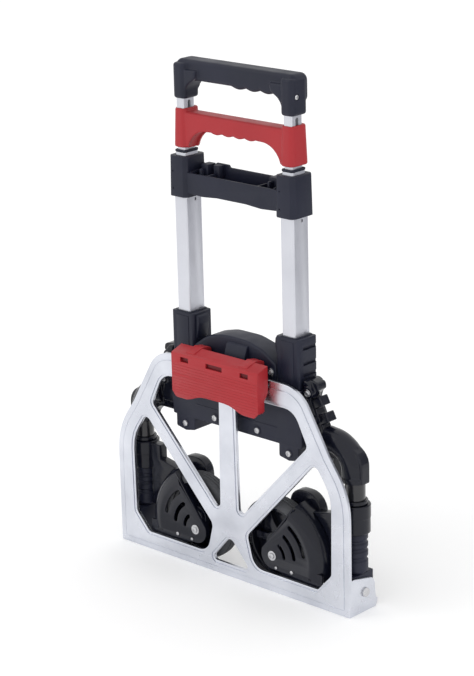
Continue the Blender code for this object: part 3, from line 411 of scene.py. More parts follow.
pressed_aluminium = metal("pressed_aluminium", (0.58, 0.60, 0.66), (0.73, 0.75, 0.81), (0.20, 0.42), 700,
                          (1, 1, 0.05), 0.02)
drawn_aluminium = metal("drawn_aluminium", (0.62, 0.63, 0.68), (0.68, 0.69, 0.74), (0.36, 0.46), 1500,
                        (1, 1, 0.01), 0.02)
zinc_steel = metal("zinc_steel", (0.50, 0.50, 0.52), (0.66, 0.66, 0.67), (0.22, 0.36), 1200, (1, 1, 1), 0.01)
leg_enamel = plastic("leg_enamel", (0.010, 0.010, 0.013), (0.014, 0.014, 0.018), (0.12, 0.2), 180, 0.03)
leg_enamel.node_tree.nodes["Principled BSDF"].inputs["Coat Weight"].default_value = 0.6
tyre_rubber = plastic("tyre_rubber", (0.060, 0.062, 0.068), (0.085, 0.087, 0.095), (0.66, 0.85), 1400, 0.12)
print("metals:", pressed_aluminium.name, drawn_aluminium.name, zinc_steel.name)


# %% finishing a piece
pieces_made = []


def complete(piece, material, body, slot, *nodes, smooth=32):
    """Shade, colour and register a finished piece."""
    pick(piece)
    bpy.ops.object.shade_smooth_by_angle(angle=math.radians(smooth))
    piece.data.materials.clear()
    piece.data.materials.append(material)
    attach(piece, body)
    if nodes:
        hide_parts(*nodes)
    pieces_made.append(piece.name)
    return piece


def dress(node, material):
    """A new material on a CAD solid whose shape stays."""
    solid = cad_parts[node]
    for place in solid.material_slots:
        place.material = material


print("ready to build")

# %% [markdown]
# ## The toe plate
#
# On the real truck this is one sheet of aluminium, pressed so that its middle stands a little
# proud of its border, with every edge turned back into a lip. It is built from layers cut to the
# same outlines: the sheet, the raised panel and the lips. A fine crease runs at the foot of the
# panel. The ears are folded back at each side.

# %% the toe plate's outlines
SMALLEST_ROUND = 1.5


def toe_corners():
    """The outer outline, bottom right corner first."""
    right = [(245, 0, 5), (245, 196, 120), (206, 251, 30), (150, 348, 55)]
    return right + [(-x, z, r) for x, z, r in reversed(right)]


def toe_windows():
    """The triangle, the arch windows and the side windows."""
    arch = rounded([(17, 310, 6), (20, 104, 7), (164, 257, 9), (138, 310, 30)])
    side = rounded([(37, 81, 14), (50, 30, 24), (181, 30, 6), (208.5, 60, 10), (210, 190, 70),
                    (179, 234, 9)])
    return [rounded([(-43, 21, 6), (43, 21, 6), (0, 69, 10)]), arch, mirrored(arch), side, mirrored(side)]


def inner_edge(inset):
    """The plate's outline again, this far inside its edge."""
    corners = toe_corners()
    moved = offset_loop([corner[:2] for corner in corners], -inset)
    radii = [max(corner[2] - inset, SMALLEST_ROUND) for corner in corners]
    return rounded([(x, z, radius) for (x, z), radius in zip(moved, radii)], 6)


windows = toe_windows()
print("the toe plate has", len(windows), "windows")

# %% press the toe plate
SHEET, PROUD, BORDER, LIP = 3, 1.2, 11, 6
toe = board("toe_plate_pressing", [inner_edge(0)] + windows, "xz", 0, SHEET, 1.2, 3)
raised = [inner_edge(BORDER)] + [offset_loop(window, 3.6) for window in windows]
weld(toe, board("raised_panel", raised, "xz", -PROUD, SHEET / 2, 1.1, 3))
creases = [[inner_edge(9.9), inner_edge(10.9)]]
creases += [[offset_loop(window, 4.3), offset_loop(window, 3.4)] for window in windows]
for number, crease in enumerate(creases):
    carve(toe, board("crease_%d" % number, crease, "xz", -2, 0.5, 0.05, 0))
lips = [[inner_edge(0.2), inner_edge(4.5)]]
lips += [[offset_loop(window, 4.5), offset_loop(window, 0.2)] for window in windows]
for number, lip in enumerate(lips):
    weld(toe, board("lip_%d" % number, lip, "xz", 1.6, LIP, 0.7, 2))
print("pressed:", len(toe.data.polygons), "faces")

# %% fold its ears back
ear = rounded([(0.4, 0, 1), (63, 0, 2), (67, 8, 2), (67, 13, 2), (63, 16, 1), (60, 49, 12), (13, 60, 4),
               (0.4, 60, 1)])
lug = rounded([(-15, 332, 5), (1, 330, 0), (1, 346, 0), (-15, 344, 5)])
for side, way in SIDES:
    low, high = sorted((way * 244.8, way * 240.3))
    weld(toe, board("ear_" + side, [ear], "yz", low, high, 0.8, 2))
    low, high = sorted((way * 70, way * 76))
    weld(toe, board("lug_" + side, [lug], "yz", low, high, 0.6))
tidy_mesh(toe, 0.001)
complete(toe, pressed_aluminium, "toe_plate", "aluminium", "toe_plate")
dress("latch_pin", zinc_steel)
print("toe plate:", len(toe.data.polygons), "faces")

# %% [markdown]
# ## Screws
#
# A screw head is small but it is what tells a viewer that parts are fastened. One function turns a
# domed head on a washer and sinks a cross into it.

# %% screws
def screw(name, place, facing, radius, body, washer=0.0, nodes=()):
    """A domed head that faces along x or -y, with a crossed recess."""
    x, depth, z = place
    axis, sign = ("x", 1) if facing == "+x" else ("x", -1) if facing == "-x" else ("y", -1)
    profile = [(0, 1.9), (0.35 * radius, 1.85), (0.7 * radius, 1.45), (0.92 * radius, 0.9), (radius, 0.2),
               (radius, -1)]
    if washer:
        profile += [(washer - 0.3, -1), (washer, -1.3), (washer, -2.2), (0, -2.2)]
        profile = [(r, a + 1.2) for r, a in profile]
    else:
        profile += [(0, -1)]
    head = turned(name, [(r, sign * a) for r, a in profile], axis, x, depth, z, 32)
    top = (3.1 if washer else 1.9) * sign
    near, far = top - sign, top + 2 * sign
    arm, half = 0.55 * radius, 0.14 * radius
    for long_u, long_v in ((arm, half), (half, arm)):
        if axis == "x":
            low, high = (x + near, depth - long_u, z - long_v), (x + far, depth + long_u, z + long_v)
        else:
            low, high = (x - long_u, depth + near, z - long_v), (x + long_u, depth + far, z + long_v)
        carve(head, block("recess", low, high, 0))
    return complete(head, zinc_steel, body, "steel", *nodes)


for side, way in SIDES:
    facing = "+x" if way > 0 else "-x"
    screw("pivot_screw_" + side, (way * 245.3, 37, 32), facing, 7, "frame")
    dress("pivot_bolt_" + side, zinc_steel)
print("the ears are bolted to the feet")

# %% [markdown]
# ## The red latch
#
# The latch is a hollow press panel with fine grooves where a thumb pushes it, three slots, and two
# hooks that lie over the frame. Its side outline, grooves included, is drawn once and given its width.
# The curved lower edge and the slots are then cut out.

# %% the latch's panel
LATCH_LOW, LATCH_HIGH, LATCH_HALF = 292, 366, 90
GROOVE_PITCH, GROOVE_HALF = 4.6, 0.5
profile = [(-26, LATCH_LOW), (-27, LATCH_LOW + 1.5)]
for groove in range(11):
    z = LATCH_LOW + 8 + groove * GROOVE_PITCH
    profile += [(-27, z - GROOVE_HALF), (-26.5, z), (-27, z + GROOVE_HALF)]
profile += [(-27, LATCH_HIGH - 4), (-25.5, LATCH_HIGH - 1.2), (-22, LATCH_HIGH)]
profile += [(-3.2, LATCH_HIGH + 6), (-3.2, LATCH_LOW + 38), (-12, LATCH_LOW + 26), (-12, LATCH_LOW)]
latch = board("latch_panel", [profile[::-1]], "yz", -LATCH_HALF, LATCH_HALF, 0, 0)
hollow = [(-24, LATCH_LOW - 5), (5, LATCH_LOW - 5), (5, LATCH_HIGH + 2), (-20, LATCH_HIGH - 3),
          (-24, LATCH_HIGH - 6)]
for left, right in ((-87, -30), (-28, 28), (30, 87)):
    carve(latch, board("hollow", [hollow], "yz", left, right, 0.2, 0))
edge = rounded([(-91, 270, 0), (91, 270, 0), (91, 303, 0), (81, 291, 12), (60, 291, 60), (30, 303, 60),
                (-30, 303, 60), (-60, 291, 60), (-81, 291, 12), (-91, 303, 0)])
carve(latch, board("scoop", [edge], "xz", -40, 2, 0.1, 0))
for left, right in ((-71, -54), (-17, 17), (54, 71)):
    carve(latch, block("slot", (left, -30, 352), (right, -20, 360), 0))
hook = rounded([(-21, 364, 1), (-2.5, 360, 1), (18, 361, 2), (18, 370, 4), (0, 373.5, 5), (-21, 368, 2)])
for way in (-1, 1):
    weld(latch, board("hook", [hook], "yz", way * 55 - 9, way * 55 + 9, 0, 0))
print("latch panel:", len(latch.data.polygons), "faces")

# %% its soft edges and a dark red sheet behind its slots, as painted shade
bevel = latch.modifiers.new("edge", "BEVEL")
bevel.width = 0.5 * MM
bevel.segments = 2
bevel.limit_method = "ANGLE"
bevel.angle_limit = math.radians(55)
apply_modifiers(latch)
complete(latch, moulded_red, "latch", "red_plastic", "latch")
# A darker red sheet just behind the slots is painted shade: it stands in for the shade inside the hollow
# latch.
slot_shade_sheet = block("latch_slot_painted_shade", (-86, -23.8, 349), (86, -22.3, 362), 0.3)
complete(slot_shade_sheet, painted_shade_red, "latch", "red_plastic")
print("latch:", len(latch.data.polygons), "faces")

# %% [markdown]
# ## A mirrored pair at a time
#
# The truck's two halves mirror each other. Each side part is therefore modelled once, on the right,
# and copied across with its own mesh.

# %% pairs
def pair(piece, name, material, body, slot, *nodes, smooth=32):
    """Finish a right-hand piece and its mirror image; names hold a %s for the side."""
    piece.name = name % "right"
    twin = mirror_of(piece, name % "left")
    for item, side in ((piece, "right"), (twin, "left")):
        bodies = body % side if "%s" in body else body
        complete(item, material, bodies, slot, *[node % side for node in nodes], smooth=smooth)
    return piece, twin


def tube_outline(x, wide, deep, radius):
    """A rectangle round a tube's middle, seen from above."""
    return oblong(x, TUBE_DEPTH, wide, deep, radius)


print("pairs are ready")

# %% [markdown]
# ## Three drawn tubes a side
#
# The handle slides in three sizes of rectangular tube, each extruded with round corners. The outer
# one has a lock hole near its top, and the inner one a slot for the release handle's pin.

# %% tubes
X, OUTER, MIDDLE, INNER = 109.3, (26, 35), (21, 30), (16, 25)
for name, (wide, deep), low, high, body in (("outer_tube_%s", OUTER, 224, 640, "frame"),
                                            ("middle_tube_%s", MIDDLE, 238, 668.5, "middle_stage"),
                                            ("inner_tube_%s", INNER, 252, 794, "handle")):
    loops = [tube_outline(X, wide, deep, 3), tube_outline(X, wide - 2.6, deep - 2.6, 1.7)]
    tube = board(name, loops, "xy", low, high, 0.3, 1)
    if name.startswith("outer"):
        for way in (-1, 1):
            face = X + way * 13
            hole = oblong(44, 594, 3.4, 5.5, 1.6)
            carve(tube, board("lock_hole", [hole], "yz", face - 4, face + 4, 0.1, 0))
    if name.startswith("inner"):
        slot = oblong(TUBE_DEPTH, 722, 6, 54, 3)
        carve(tube, board("pin_slot", [slot], "yz", X - 12, X + 12, 0.1, 0))
    pair(tube, name + "_drawn", drawn_aluminium, body, "aluminium", name)
bush_loops = [tube_outline(X, 22.6, 31.6, 3.5), tube_outline(X, 17, 26, 2)]
bush = board("bush", bush_loops, "xy", 668.9, 672.6, 0.8, 2)
pair(bush, "tube_bush_%s_ring", etched_black, "middle_stage", "black_plastic", "tube_bush_%s")
print("six tubes and two bushes")

# %% [markdown]
# ## The top grip
#
# A soft black moulding: two sockets over the tubes, a bar with finger waves below it, and a sweep
# from each socket into the bar. Melting the shapes together gives the sweeps that a mould has.

# %% grip outlines
def waves(left, right, z, depth, count):
    """Shallow scallops for the fingers, from right to left."""
    steps = count * 8
    return [(right + (left - right) * i / steps, z - depth * abs(math.sin(math.pi * count * i / steps)))
            for i in range(steps + 1)]


def socket(name, low, high, wide, deep, edge, flare=0.0):
    """One end of a handle round its tube, a little wider below if it flares."""
    end = board(name, [tube_outline(X, wide, deep, 8)], "xy", low, high, edge, 3)
    middle = Vector((X * MM, spot(0, TUBE_DEPTH, 0).y))
    for vertex in end.data.vertices:
        drop = (high - vertex.co.z / MM) / (high - low)
        vertex.co.x += (vertex.co.x - middle.x) * flare * drop
        vertex.co.y += (vertex.co.y - middle.y) * flare * drop
    return end


# %% the grip
SET_BACK = 2.4
top_line = rounded([(121, 770, 8), (121, 812.8, 11), (-121, 812.8, 11), (-121, 770, 8)])
under = [(-97, 766), (-96, 772), (-92, 777), (-85, 780), (-76, 781)] + waves(-8, 78, 781, 3.6, 3)[::-1]
under += [(84, 780), (91, 777), (95, 772), (97, 766)]
grip = board("grip_moulding", [under + top_line], "xz", 31, 63, 6, 4)
ends = [socket("end", 752, 807, 25.5, 36, 4)]
ends.append(mirror_of(ends[0], "end"))
for way in (-1, 1):
    corner = [(99, 762), (99, 798), (74, 798), (76, 786), (83, 781), (90, 777), (95, 771)]
    shape = corner if way > 0 else mirrored(corner)
    ends.append(board("corner", [shape], "xz", 25.5, 60, 3, 2))
melt(grip, *ends, grain=1.1, passes=6)
grip.data.transform(Matrix.Translation((0, SET_BACK * MM, 0)))
for way in (-1, 1):
    carve(grip, board("bore", [tube_outline(way * X, 16.8, 25.8, 3)], "xy", 745, 794.5, 0.1, 0))
    sink = [(0, -2), (4.6, -2), (4.6, 8), (0, 8)]
    carve(grip, turned("sink", sink, "x", way * 121.8 - (2 if way > 0 else 4), 37.5, 780, 24))
complete(grip, etched_black, "handle", "black_plastic", "grip", smooth=60)
for side, way in SIDES:
    screw("grip_screw_%s_head" % side, (way * 120.6, 37.5, 780), "+x" if way > 0 else "-x", 4, "handle",
          nodes=("grip_screw_" + side,))
print("grip:", len(grip.data.polygons), "faces")

# %% [markdown]
# ## The release handle
#
# Pulling this red bar up with the fingers frees the locks. It is one moulding, with a long arch
# below its bar and four finger waves. The sockets flare a little below, and the bar is set in
# from them. Behind the front skin the arch is hollow.

# %% release handle
RELEASE_LOW, ARCH_X, ARCH_Z = 676.5, 57, 668
arch = [(97, RELEASE_LOW)] + arc(ARCH_X, ARCH_Z, 37, 13, 84, 8) + waves(-46, 46, 705.5, 2.4, 4)
arch += arc(-ARCH_X, ARCH_Z, 37, 96, 167, 8) + [(-97, RELEASE_LOW)]
body_line = rounded([(-119, RELEASE_LOW, 0), (-119, 732.4, 6), (119, 732.4, 6), (119, RELEASE_LOW, 0)])
release = board("release_moulding", [arch[::-1] + body_line[::-1]], "xz", 25.5, 54, 5, 4)
ends = [socket("end", RELEASE_LOW, 737.5, 23, 35.5, 2.5, 0.14)]
ends.append(mirror_of(ends[0], "end"))
melt(release, *ends, grain=1.1, passes=4)
release.data.transform(Matrix.Translation((0, SET_BACK * MM, 0)))
hollow = arc(ARCH_X, ARCH_Z, 40, 3, 84, 8) + [(46, 709.5), (-46, 709.5)]
hollow += arc(-ARCH_X, ARCH_Z, 40, 96, 177, 8) + [(-99, 662), (99, 662)]
carve(release, board("arch_room", [hollow], "xz", 29.5, 50, 0.1, 0))
for way in (-1, 1):
    carve(release, board("bore", [tube_outline(way * X, 17, 26, 3)], "xy", 666, 746, 0.1, 0))
complete(release, moulded_red, "release", "red_plastic", "release_handle", smooth=60)
for side in ("left", "right"):
    dress("lock_rod_" + side, zinc_steel)
print("release handle:", len(release.data.polygons), "faces")

# %% [markdown]
# ## The bridge
#
# The upper cross-piece grips both outer tubes with box sockets and holds an open trough between
# them, where a strap's end is kept. Its sockets have chamfered corners and flare a little below.

# %% bridge sockets
def chamfered(x, depth, wide, deep, cut):
    """A rectangle with its corners cut off."""
    a, b = wide / 2, deep / 2
    corners = [(-a + cut, -b), (a - cut, -b), (a, -b + cut), (a, b - cut), (a - cut, b), (-a + cut, b),
               (-a, b - cut), (-a, -b + cut)]
    return rounded([(x + u, depth + v, 2) for u, v in corners], 20)


def bridge_socket():
    """The right-hand box socket, flared below."""
    low_part = board("bridge_socket", [chamfered(X, 42, 37, 48, 6)], "xy", 600, 664, 1.5, 2)
    for vertex in low_part.data.vertices:
        drop = max(0.0, 0.612 - vertex.co.z)
        vertex.co.x += (vertex.co.x - X * MM) * drop * 5
        vertex.co.y += (vertex.co.y - spot(0, 42, 0).y) * drop * 4
    return low_part


# %% bridge
front_wall = rounded([(-95, 608, 0), (-60, 606, 60), (0, 611, 200), (60, 606, 60), (95, 608, 0), (95, 640, 0),
                      (-95, 640, 0)])
bridge = board("bridge_moulding", [front_wall], "xz", 21.5, 25.5, 1, 2)
weld(bridge, board("floor", [oblong(TUBE_DEPTH, 611, 40, 5, 1)], "yz", -95, 95, 0.4, 1))
rear_wall = rounded([(-95, 609, 0), (95, 609, 0), (95, 650, 0), (72, 650, 2), (69, 649, 2), (-34, 649, 2),
                     (-37, 653, 2), (-62, 653, 2), (-66, 649, 1), (-80, 649, 1), (-95, 649, 0)])
weld(bridge, board("rear_wall", [rear_wall], "xz", 57.5, 61, 0.8, 2))
for left, right, low, high, top in ((-87, -84, 24, 59, 642), (-80, -66, 42, 60, 652), (-77, -72, 34, 59, 646),
                                    (-58, -46, 46, 60, 652), (-54, -51, 24, 59, 640), (50, 53, 24, 59, 640),
                                    (58, 76, 44, 60, 651), (63, 67, 34, 59, 646), (84, 87, 24, 59, 642)):
    weld(bridge, block("rib", (left, low, 609.3), (right, high, top), 0.7))
right_end = bridge_socket()
left_end = mirror_of(right_end, "left_end")
weld(bridge, right_end, left_end)
for way in (-1, 1):
    carve(bridge, board("bore", [tube_outline(way * X, 26.6, 35.6, 3.2)], "xy", 590, 640.4, 0.1, 0))
    carve(bridge, board("bore", [tube_outline(way * X, 22, 31, 3)], "xy", 630, 690, 0.1, 0))
    for z in (613, 640):
        carve(bridge, turned("pin_mark", [(0, -1), (1.3, -1), (1.3, 1), (0, 1)], "y", way * X - 8, 18, z, 16))
complete(bridge, etched_black, "frame", "black_plastic", "bridge")
print("bridge:", len(bridge.data.polygons), "faces")

# %% [markdown]
# ## Wheel guards
#
# A glossy guard stands over each folded wheel. Its flat face is a sector with three curved slots
# round a bolt. Past a fine step the face rolls back into a band over the tyre. The face is a board,
# and the band is a profile swung round the bolt. A skirt closes the foot, and an ear stands behind.

# %% guard shapes
GX, GZ = 82.5, 57
WHEEL_X, WHEEL_Z = 83, 77


def sector(radius, start, end):
    """An arc round the guard's bolt."""
    return arc(GX, GZ, radius, start, end, 4)


def slot_shape(radius, start, end, width=7):
    """A curved slot with round ends."""
    half = width / 2
    loop = sector(radius + half, start, end)
    tip = Vector((GX + radius * math.cos(math.radians(end)), GZ + radius * math.sin(math.radians(end))))
    loop += arc(tip.x, tip.y, half, end + 20, end + 160, 35)
    loop += sector(radius - half, end, start)
    tip = Vector((GX + radius * math.cos(math.radians(start)), GZ + radius * math.sin(math.radians(start))))
    return loop + arc(tip.x, tip.y, half, start + 200, start + 340, 35)


def band(profile, start, end, name):
    """A (radius, depth) profile swung round the guard's bolt between two angles."""
    centre = spot(GX, 0, GZ)
    first = math.radians(start)
    points = [centre + Vector((math.cos(first) * r, 0, math.sin(first) * r)) * MM + Vector((0, d * MM, 0))
              for r, d in profile]
    mesh = bpy.data.meshes.new(name)
    mesh.from_pydata(points, [], [tuple(range(len(points)))])
    piece = bpy.data.objects.new(name, mesh)
    bpy.context.scene.collection.objects.link(piece)
    pick(piece)
    bpy.ops.object.mode_set(mode="EDIT")
    bpy.ops.mesh.select_all(action="SELECT")
    bpy.ops.mesh.duplicate()
    bpy.ops.mesh.spin(steps=30, angle=math.radians(end - start), center=centre, axis=(0, 1, 0))
    bpy.ops.object.mode_set(mode="OBJECT")
    return tidy_mesh(piece, 0.02)


# %% one guard
CORNER, BACK, PLATE_R, HUB_R = 65, 158, 77, 23
plate_edge = sector(PLATE_R, math.degrees(math.asin(-HUB_R / PLATE_R)), CORNER)
plate_edge += arc(GX, GZ, HUB_R, BACK, 270, 8)
slots = [slot_shape(24, 6, 54, 6), slot_shape(45, 8, 56), slot_shape(66, 14, 57)]
guard = board("guard", [plate_edge] + slots, "xz", 7, 9.8, 0.8, 2)
roll = [(73, 7.6), (75.5, 6.2), (80, 6.4), (88, 8), (95, 11.5), (100, 17), (103.2, 25), (104, 34),
        (104, 61), (103, 62), (89, 62), (88, 61), (88, 59.4), (101.4, 59.4), (101.4, 34), (100.6, 26),
        (97.5, 19), (93, 14), (87, 10.8), (80, 9.4), (73, 9.6)]
weld(guard, band(roll, -12.8, CORNER, "roll"))
run = Vector((math.cos(math.radians(CORNER)), math.sin(math.radians(CORNER))))
top = Vector((GX, GZ)) + run * 98
base = Vector((GX, GZ)) + Vector((math.cos(math.radians(BACK)), math.sin(math.radians(BACK)))) * HUB_R
across = Vector((-(top - base).y, (top - base).x)).normalized()
edge = [tuple(base), tuple(top), tuple(top - across * 3), tuple(base - across * 3)]
weld(guard, board("edge_wall", [edge], "xz", 7.3, 24, 1, 2))
rim_arc = arc(GX, GZ, HUB_R, BACK, 270, 8) + arc(GX, GZ, HUB_R - 3, 270, BACK, 8)
weld(guard, board("hub_wall", [rim_arc], "xz", 7.3, 18, 1, 2))
weld(guard, board("foot_wall", [oblong(GX + 38, 35.5, 80, 3, 1)], "xz", 7.6, 24, 0.8, 2))
ear_shape = rounded([(GX + 4, 116, 3), (GX + 70, 116, 3), (GX + 70, 162.5, 30), (GX + 8, 162.5, 24)])
weld(guard, board("rear_ear", [ear_shape], "xz", 44, 61.6, 2, 2))
skirt = rounded([(GX + 2, 38, 1), (GX + 26, 27, 4), (GX + 80, 22, 4), (GX + 101, 30, 6),
                 (GX + 101, 50, 2), (GX + 2, 50, 2)])
weld(guard, board("skirt", [skirt], "xz", 8.4, 11.6, 0.8, 2))
weld(guard, turned("hub", [(0, 0), (14, 0), (12.5, 2.6), (0, 2.6)], "y", WHEEL_X, 9.4, WHEEL_Z, 32))
pair(guard, "wheel_guard_%s_moulding", gloss_black, "wheel_arm_%s", "black_plastic", "wheel_guard_%s",
     smooth=35)
print("guard:", len(guard.data.polygons), "faces")

# %% its bolt and screws
for side, way in SIDES:
    arm = "wheel_arm_" + side
    screw("guard_bolt_%s_head" % side, (way * GX, 6, GZ), "-y", 5, arm, 8, nodes=("guard_bolt_" + side,))
    screw("guard_screw_%s_1" % side, (way * (GX + 8), 6.6, 38.5), "-y", 2.6, arm)
    screw("guard_screw_%s_2" % side, (way * (GX + 40), 6.6, 39.5), "-y", 3.2, arm)
    dress("axle_" + side, zinc_steel)
    dress("bearing_" + side, zinc_steel)
print("bolts in")

# %% [markdown]
# ## Wheels
#
# A moulded rubber tyre on a plastic rim. The tyre is turned from a crowned profile with three
# grooves. The rim joins a band, a hub, a thin web and six spokes.

# %% tyre and rim
crown = [(57.4, 13.5), (62, 13), (66.5, 13.6), (69.5, 15.5), (71.2, 18), (71.5, 20.2), (70.3, 20.8),
         (70.3, 22.2), (71.7, 22.8), (72, 25.6), (70.8, 26.2), (70.8, 27.8), (72, 28.4), (71.7, 31.2),
         (70.3, 31.8), (70.3, 33.2), (71.5, 33.8), (71.2, 36), (69.5, 38.5), (66.5, 40.4), (62, 41),
         (57.4, 40.5)]
tyre = turned("tyre", crown, "y", WHEEL_X, 0, WHEEL_Z, 96)
pair(tyre, "tyre_%s_tread", tyre_rubber, "wheel_%s", "tyre", "tyre_%s", smooth=40)
felloe = [(52, 16.5), (56.6, 16), (57, 16.6), (57, 37.4), (56.6, 38), (52, 37.5), (51, 36), (51.8, 30),
          (51.8, 24), (51, 18)]
rim = turned("rim", felloe, "y", WHEEL_X, 0, WHEEL_Z, 72)
hub = [(11.4, 14), (16.4, 14), (17, 14.8), (17, 44), (16.2, 45), (11.4, 45)]
weld(rim, turned("hub", hub, "y", WHEEL_X, 0, WHEEL_Z, 48))
web = [(15, 32), (53, 32), (53, 34), (15, 34)]
weld(rim, turned("web", web, "y", WHEEL_X, 0, WHEEL_Z, 72))
SPOKES = 6
shape = rounded([(15, -8, 2), (30, -5.4, 30), (53, -7, 2), (53, 7, 2), (30, 5.4, 30), (15, 8, 2)])
for spoke in range(SPOKES):
    swing = Matrix.Rotation(math.tau * spoke / SPOKES, 2)
    placed = [tuple(Vector((WHEEL_X, WHEEL_Z)) + swing @ Vector(point)) for point in shape]
    weld(rim, board("spoke", [placed], "xz", 23, 33.1, 0.8, 2))
pair(rim, "rim_%s_moulding", gloss_black, "wheel_%s", "black_plastic", "rim_%s")
print("wheels:", len(tyre.data.polygons), "and", len(rim.data.polygons), "faces each")

# %% [markdown]
# ## Legs, collars, feet and swing sleeves
#
# Round parts are turned. The leg is a painted steel tube; a ring and the wheel arm's sleeve sit on
# it, and the ringed foot ends in the round block that the toe plate turns on.

# %% turned parts of the leg
LEG, LEG_D = 224, 40
leg = turned("leg", [(16, 66), (16, 236), (14.5, 236), (14.5, 66)], "z", LEG, LEG_D, 0, 64)
pair(leg, "leg_%s_tube", leg_enamel, "frame", "leg_paint", "leg_%s")
ring = [(16.3, 172.5), (18.8, 172.5), (19.7, 173.4), (19.7, 177.6), (18.8, 178.5), (16.3, 178.5)]
collar = turned("ring", ring, "z", LEG, LEG_D, 0, 64)
pair(collar, "leg_collar_%s_ring", gloss_black, "frame", "black_plastic", "leg_collar_%s")
foot = [(0, 55), (15.2, 55), (15.2, 60.5), (18.6, 63), (19.3, 64), (19.3, 80), (17.4, 82), (17.4, 86),
        (19.3, 88), (19.3, 95.5), (17.4, 97.5), (17.4, 101), (19.3, 103), (19.3, 108.5), (17.4, 110.5),
        (17.4, 114), (19.3, 116), (19.3, 124.5), (18.3, 125.5), (16.3, 125.5), (16.3, 65.7), (0, 65.7)]
ankle = turned("foot", foot, "z", LEG, LEG_D, 0, 64)
heel = [(11, 60)] + arc(37, 32, 26, 180, 360, 6) + [(63, 60)]
weld(ankle, board("heel", [heel], "yz", LEG - 15.7, LEG + 15.7, 1.5, 2))
carve(ankle, turned("pivot", [(0, -23), (4.3, -23), (4.3, 25), (0, 25)], "x", 245, 37, 32, 32))
pair(ankle, "foot_%s_moulding", etched_black, "frame", "black_plastic", "foot_%s")
sleeve = [(16.6, 126), (22.4, 126), (23.4, 127), (23.4, 150), (24, 150.8), (24, 170.6), (22.8, 172),
          (16.6, 172)]
arm = turned("sleeve", sleeve, "z", LEG, LEG_D, 0, 64)
web = sector(104.4, 4, 52) + [(182, 146), (182, 170), (204, 170), (204, 128), (203, 122), (203, 64.3)]
weld(arm, board("web", [web], "xz", 31, 49, 2, 2))
carve(arm, turned("bore", [(0, 60), (16.5, 60), (16.5, 180), (0, 180)], "z", LEG, LEG_D, 0, 64))
pair(arm, "wheel_arm_%s_moulding", gloss_black, "wheel_arm_%s", "black_plastic", "wheel_arm_%s")
print("legs done")

# %% [markdown]
# ## Shoulders
#
# Each shoulder carries the load from the cross member out to a leg: a plate with an open comb on
# its upper edge, then a round elbow down into the leg's socket. The elbow is a tube swept along a
# bend. The comb's teeth are drawn in the plate's outline, so that daylight shows between them.

# %% shoulder
def swept(name, path, radius):
    """A round bar along a smooth path of (x, depth, z) places."""
    line = bpy.data.curves.new(name, "CURVE")
    line.dimensions = "3D"
    line.resolution_u = 10
    line.bevel_depth = radius * MM
    line.bevel_resolution = 12
    line.use_fill_caps = True
    spline = line.splines.new("BEZIER")
    spline.bezier_points.add(len(path) - 1)
    for point, place in zip(spline.bezier_points, path):
        point.co = spot(*place)
        point.handle_left_type = point.handle_right_type = "AUTO"
    piece = bpy.data.objects.new(name, line)
    bpy.context.scene.collection.objects.link(piece)
    pick(piece)
    bpy.ops.object.convert(target="MESH")
    return tidy_mesh(bpy.context.view_layer.objects.active)


EDGE, ELBOW = 245, 207
comb_low, comb_high = Vector((187, 284)), Vector((163, 330))
plate = [(136.3, 241, 0), (178, 241, 20), (194, 224, 14), (196, ELBOW, 0), (EDGE, ELBOW, 0), (EDGE, 250, 30),
         (212, 270, 30), (192, 279, 4)]
along = (comb_high - comb_low) / 2
inward = Vector((-along.y, along.x)).normalized() * 16
for tooth in range(2):
    start = comb_low + along * tooth
    for point in (start + inward, start + along * 0.42 + inward, start + along * 0.42, start + along):
        plate.append((point.x, point.y, 0.8))
start = comb_high
plate += [((start + inward).x, (start + inward).y, 0.8)]
plate += [((start + inward).x + 1, (start + inward).y + 6, 0.8), (162, 340, 3), (161, 350, 6), (147, 353, 3),
          (136.3, 353, 0)]
shoulder = board("shoulder", [rounded(plate)], "xz", 30, 50, 1.5, 2)
lobe = rounded([(136.3, 255, 2), (166, 255, 6), (160, 290, 8), (146, 320, 8), (157, 352, 12),
                (136.3, 352, 2)])
parts = [board("lobe", [lobe], "xz", 24, 58, 2.5, 2),
         swept("elbow", [(170, 40, 264), (200, 40, 258), (219, 40, 240), (224, 40, 209)], 20),
         turned("cuff", [(0, 207), (21, 207), (21, 214), (0, 214)], "z", LEG, LEG_D, 0, 64)]
for x, z, r in ((147, 334, 9.5), (157, 292, 7)):
    parts.append(turned("boss", [(0, 22), (r, 22), (r, 40), (0, 40)], "y", x, 0, z, 40))
melt(shoulder, *parts, grain=1.0, passes=3)
carve(shoulder, turned("bore", [(0, 200), (16.4, 200), (16.4, 236.4), (0, 236.4)], "z", LEG, LEG_D, 0, 64))
pair(shoulder, "shoulder_%s_moulding", gloss_black, "frame", "black_plastic", "shoulder_%s", smooth=60)
for side, way in SIDES:
    screw("shoulder_screw_%s_1" % side, (way * 147, 21.6, 334), "-y", 4.2, "frame", 6)
    screw("shoulder_screw_%s_2" % side, (way * 157, 21.8, 292), "-y", 3.6, "frame")
    screw("elbow_screw_%s" % side, (way * 196, 20.4, 240), "-y", 3.4, "frame")
print("shoulder:", len(shoulder.data.polygons), "faces")

# %% [markdown]
# ## The cross member, the sockets and the arch cover
#
# The cross member is the big black beam that the tubes and shoulders are bolted to. Above it a
# notched socket with a low rim stands round each tube, and an arched cover with a thumb tab fills
# the middle.

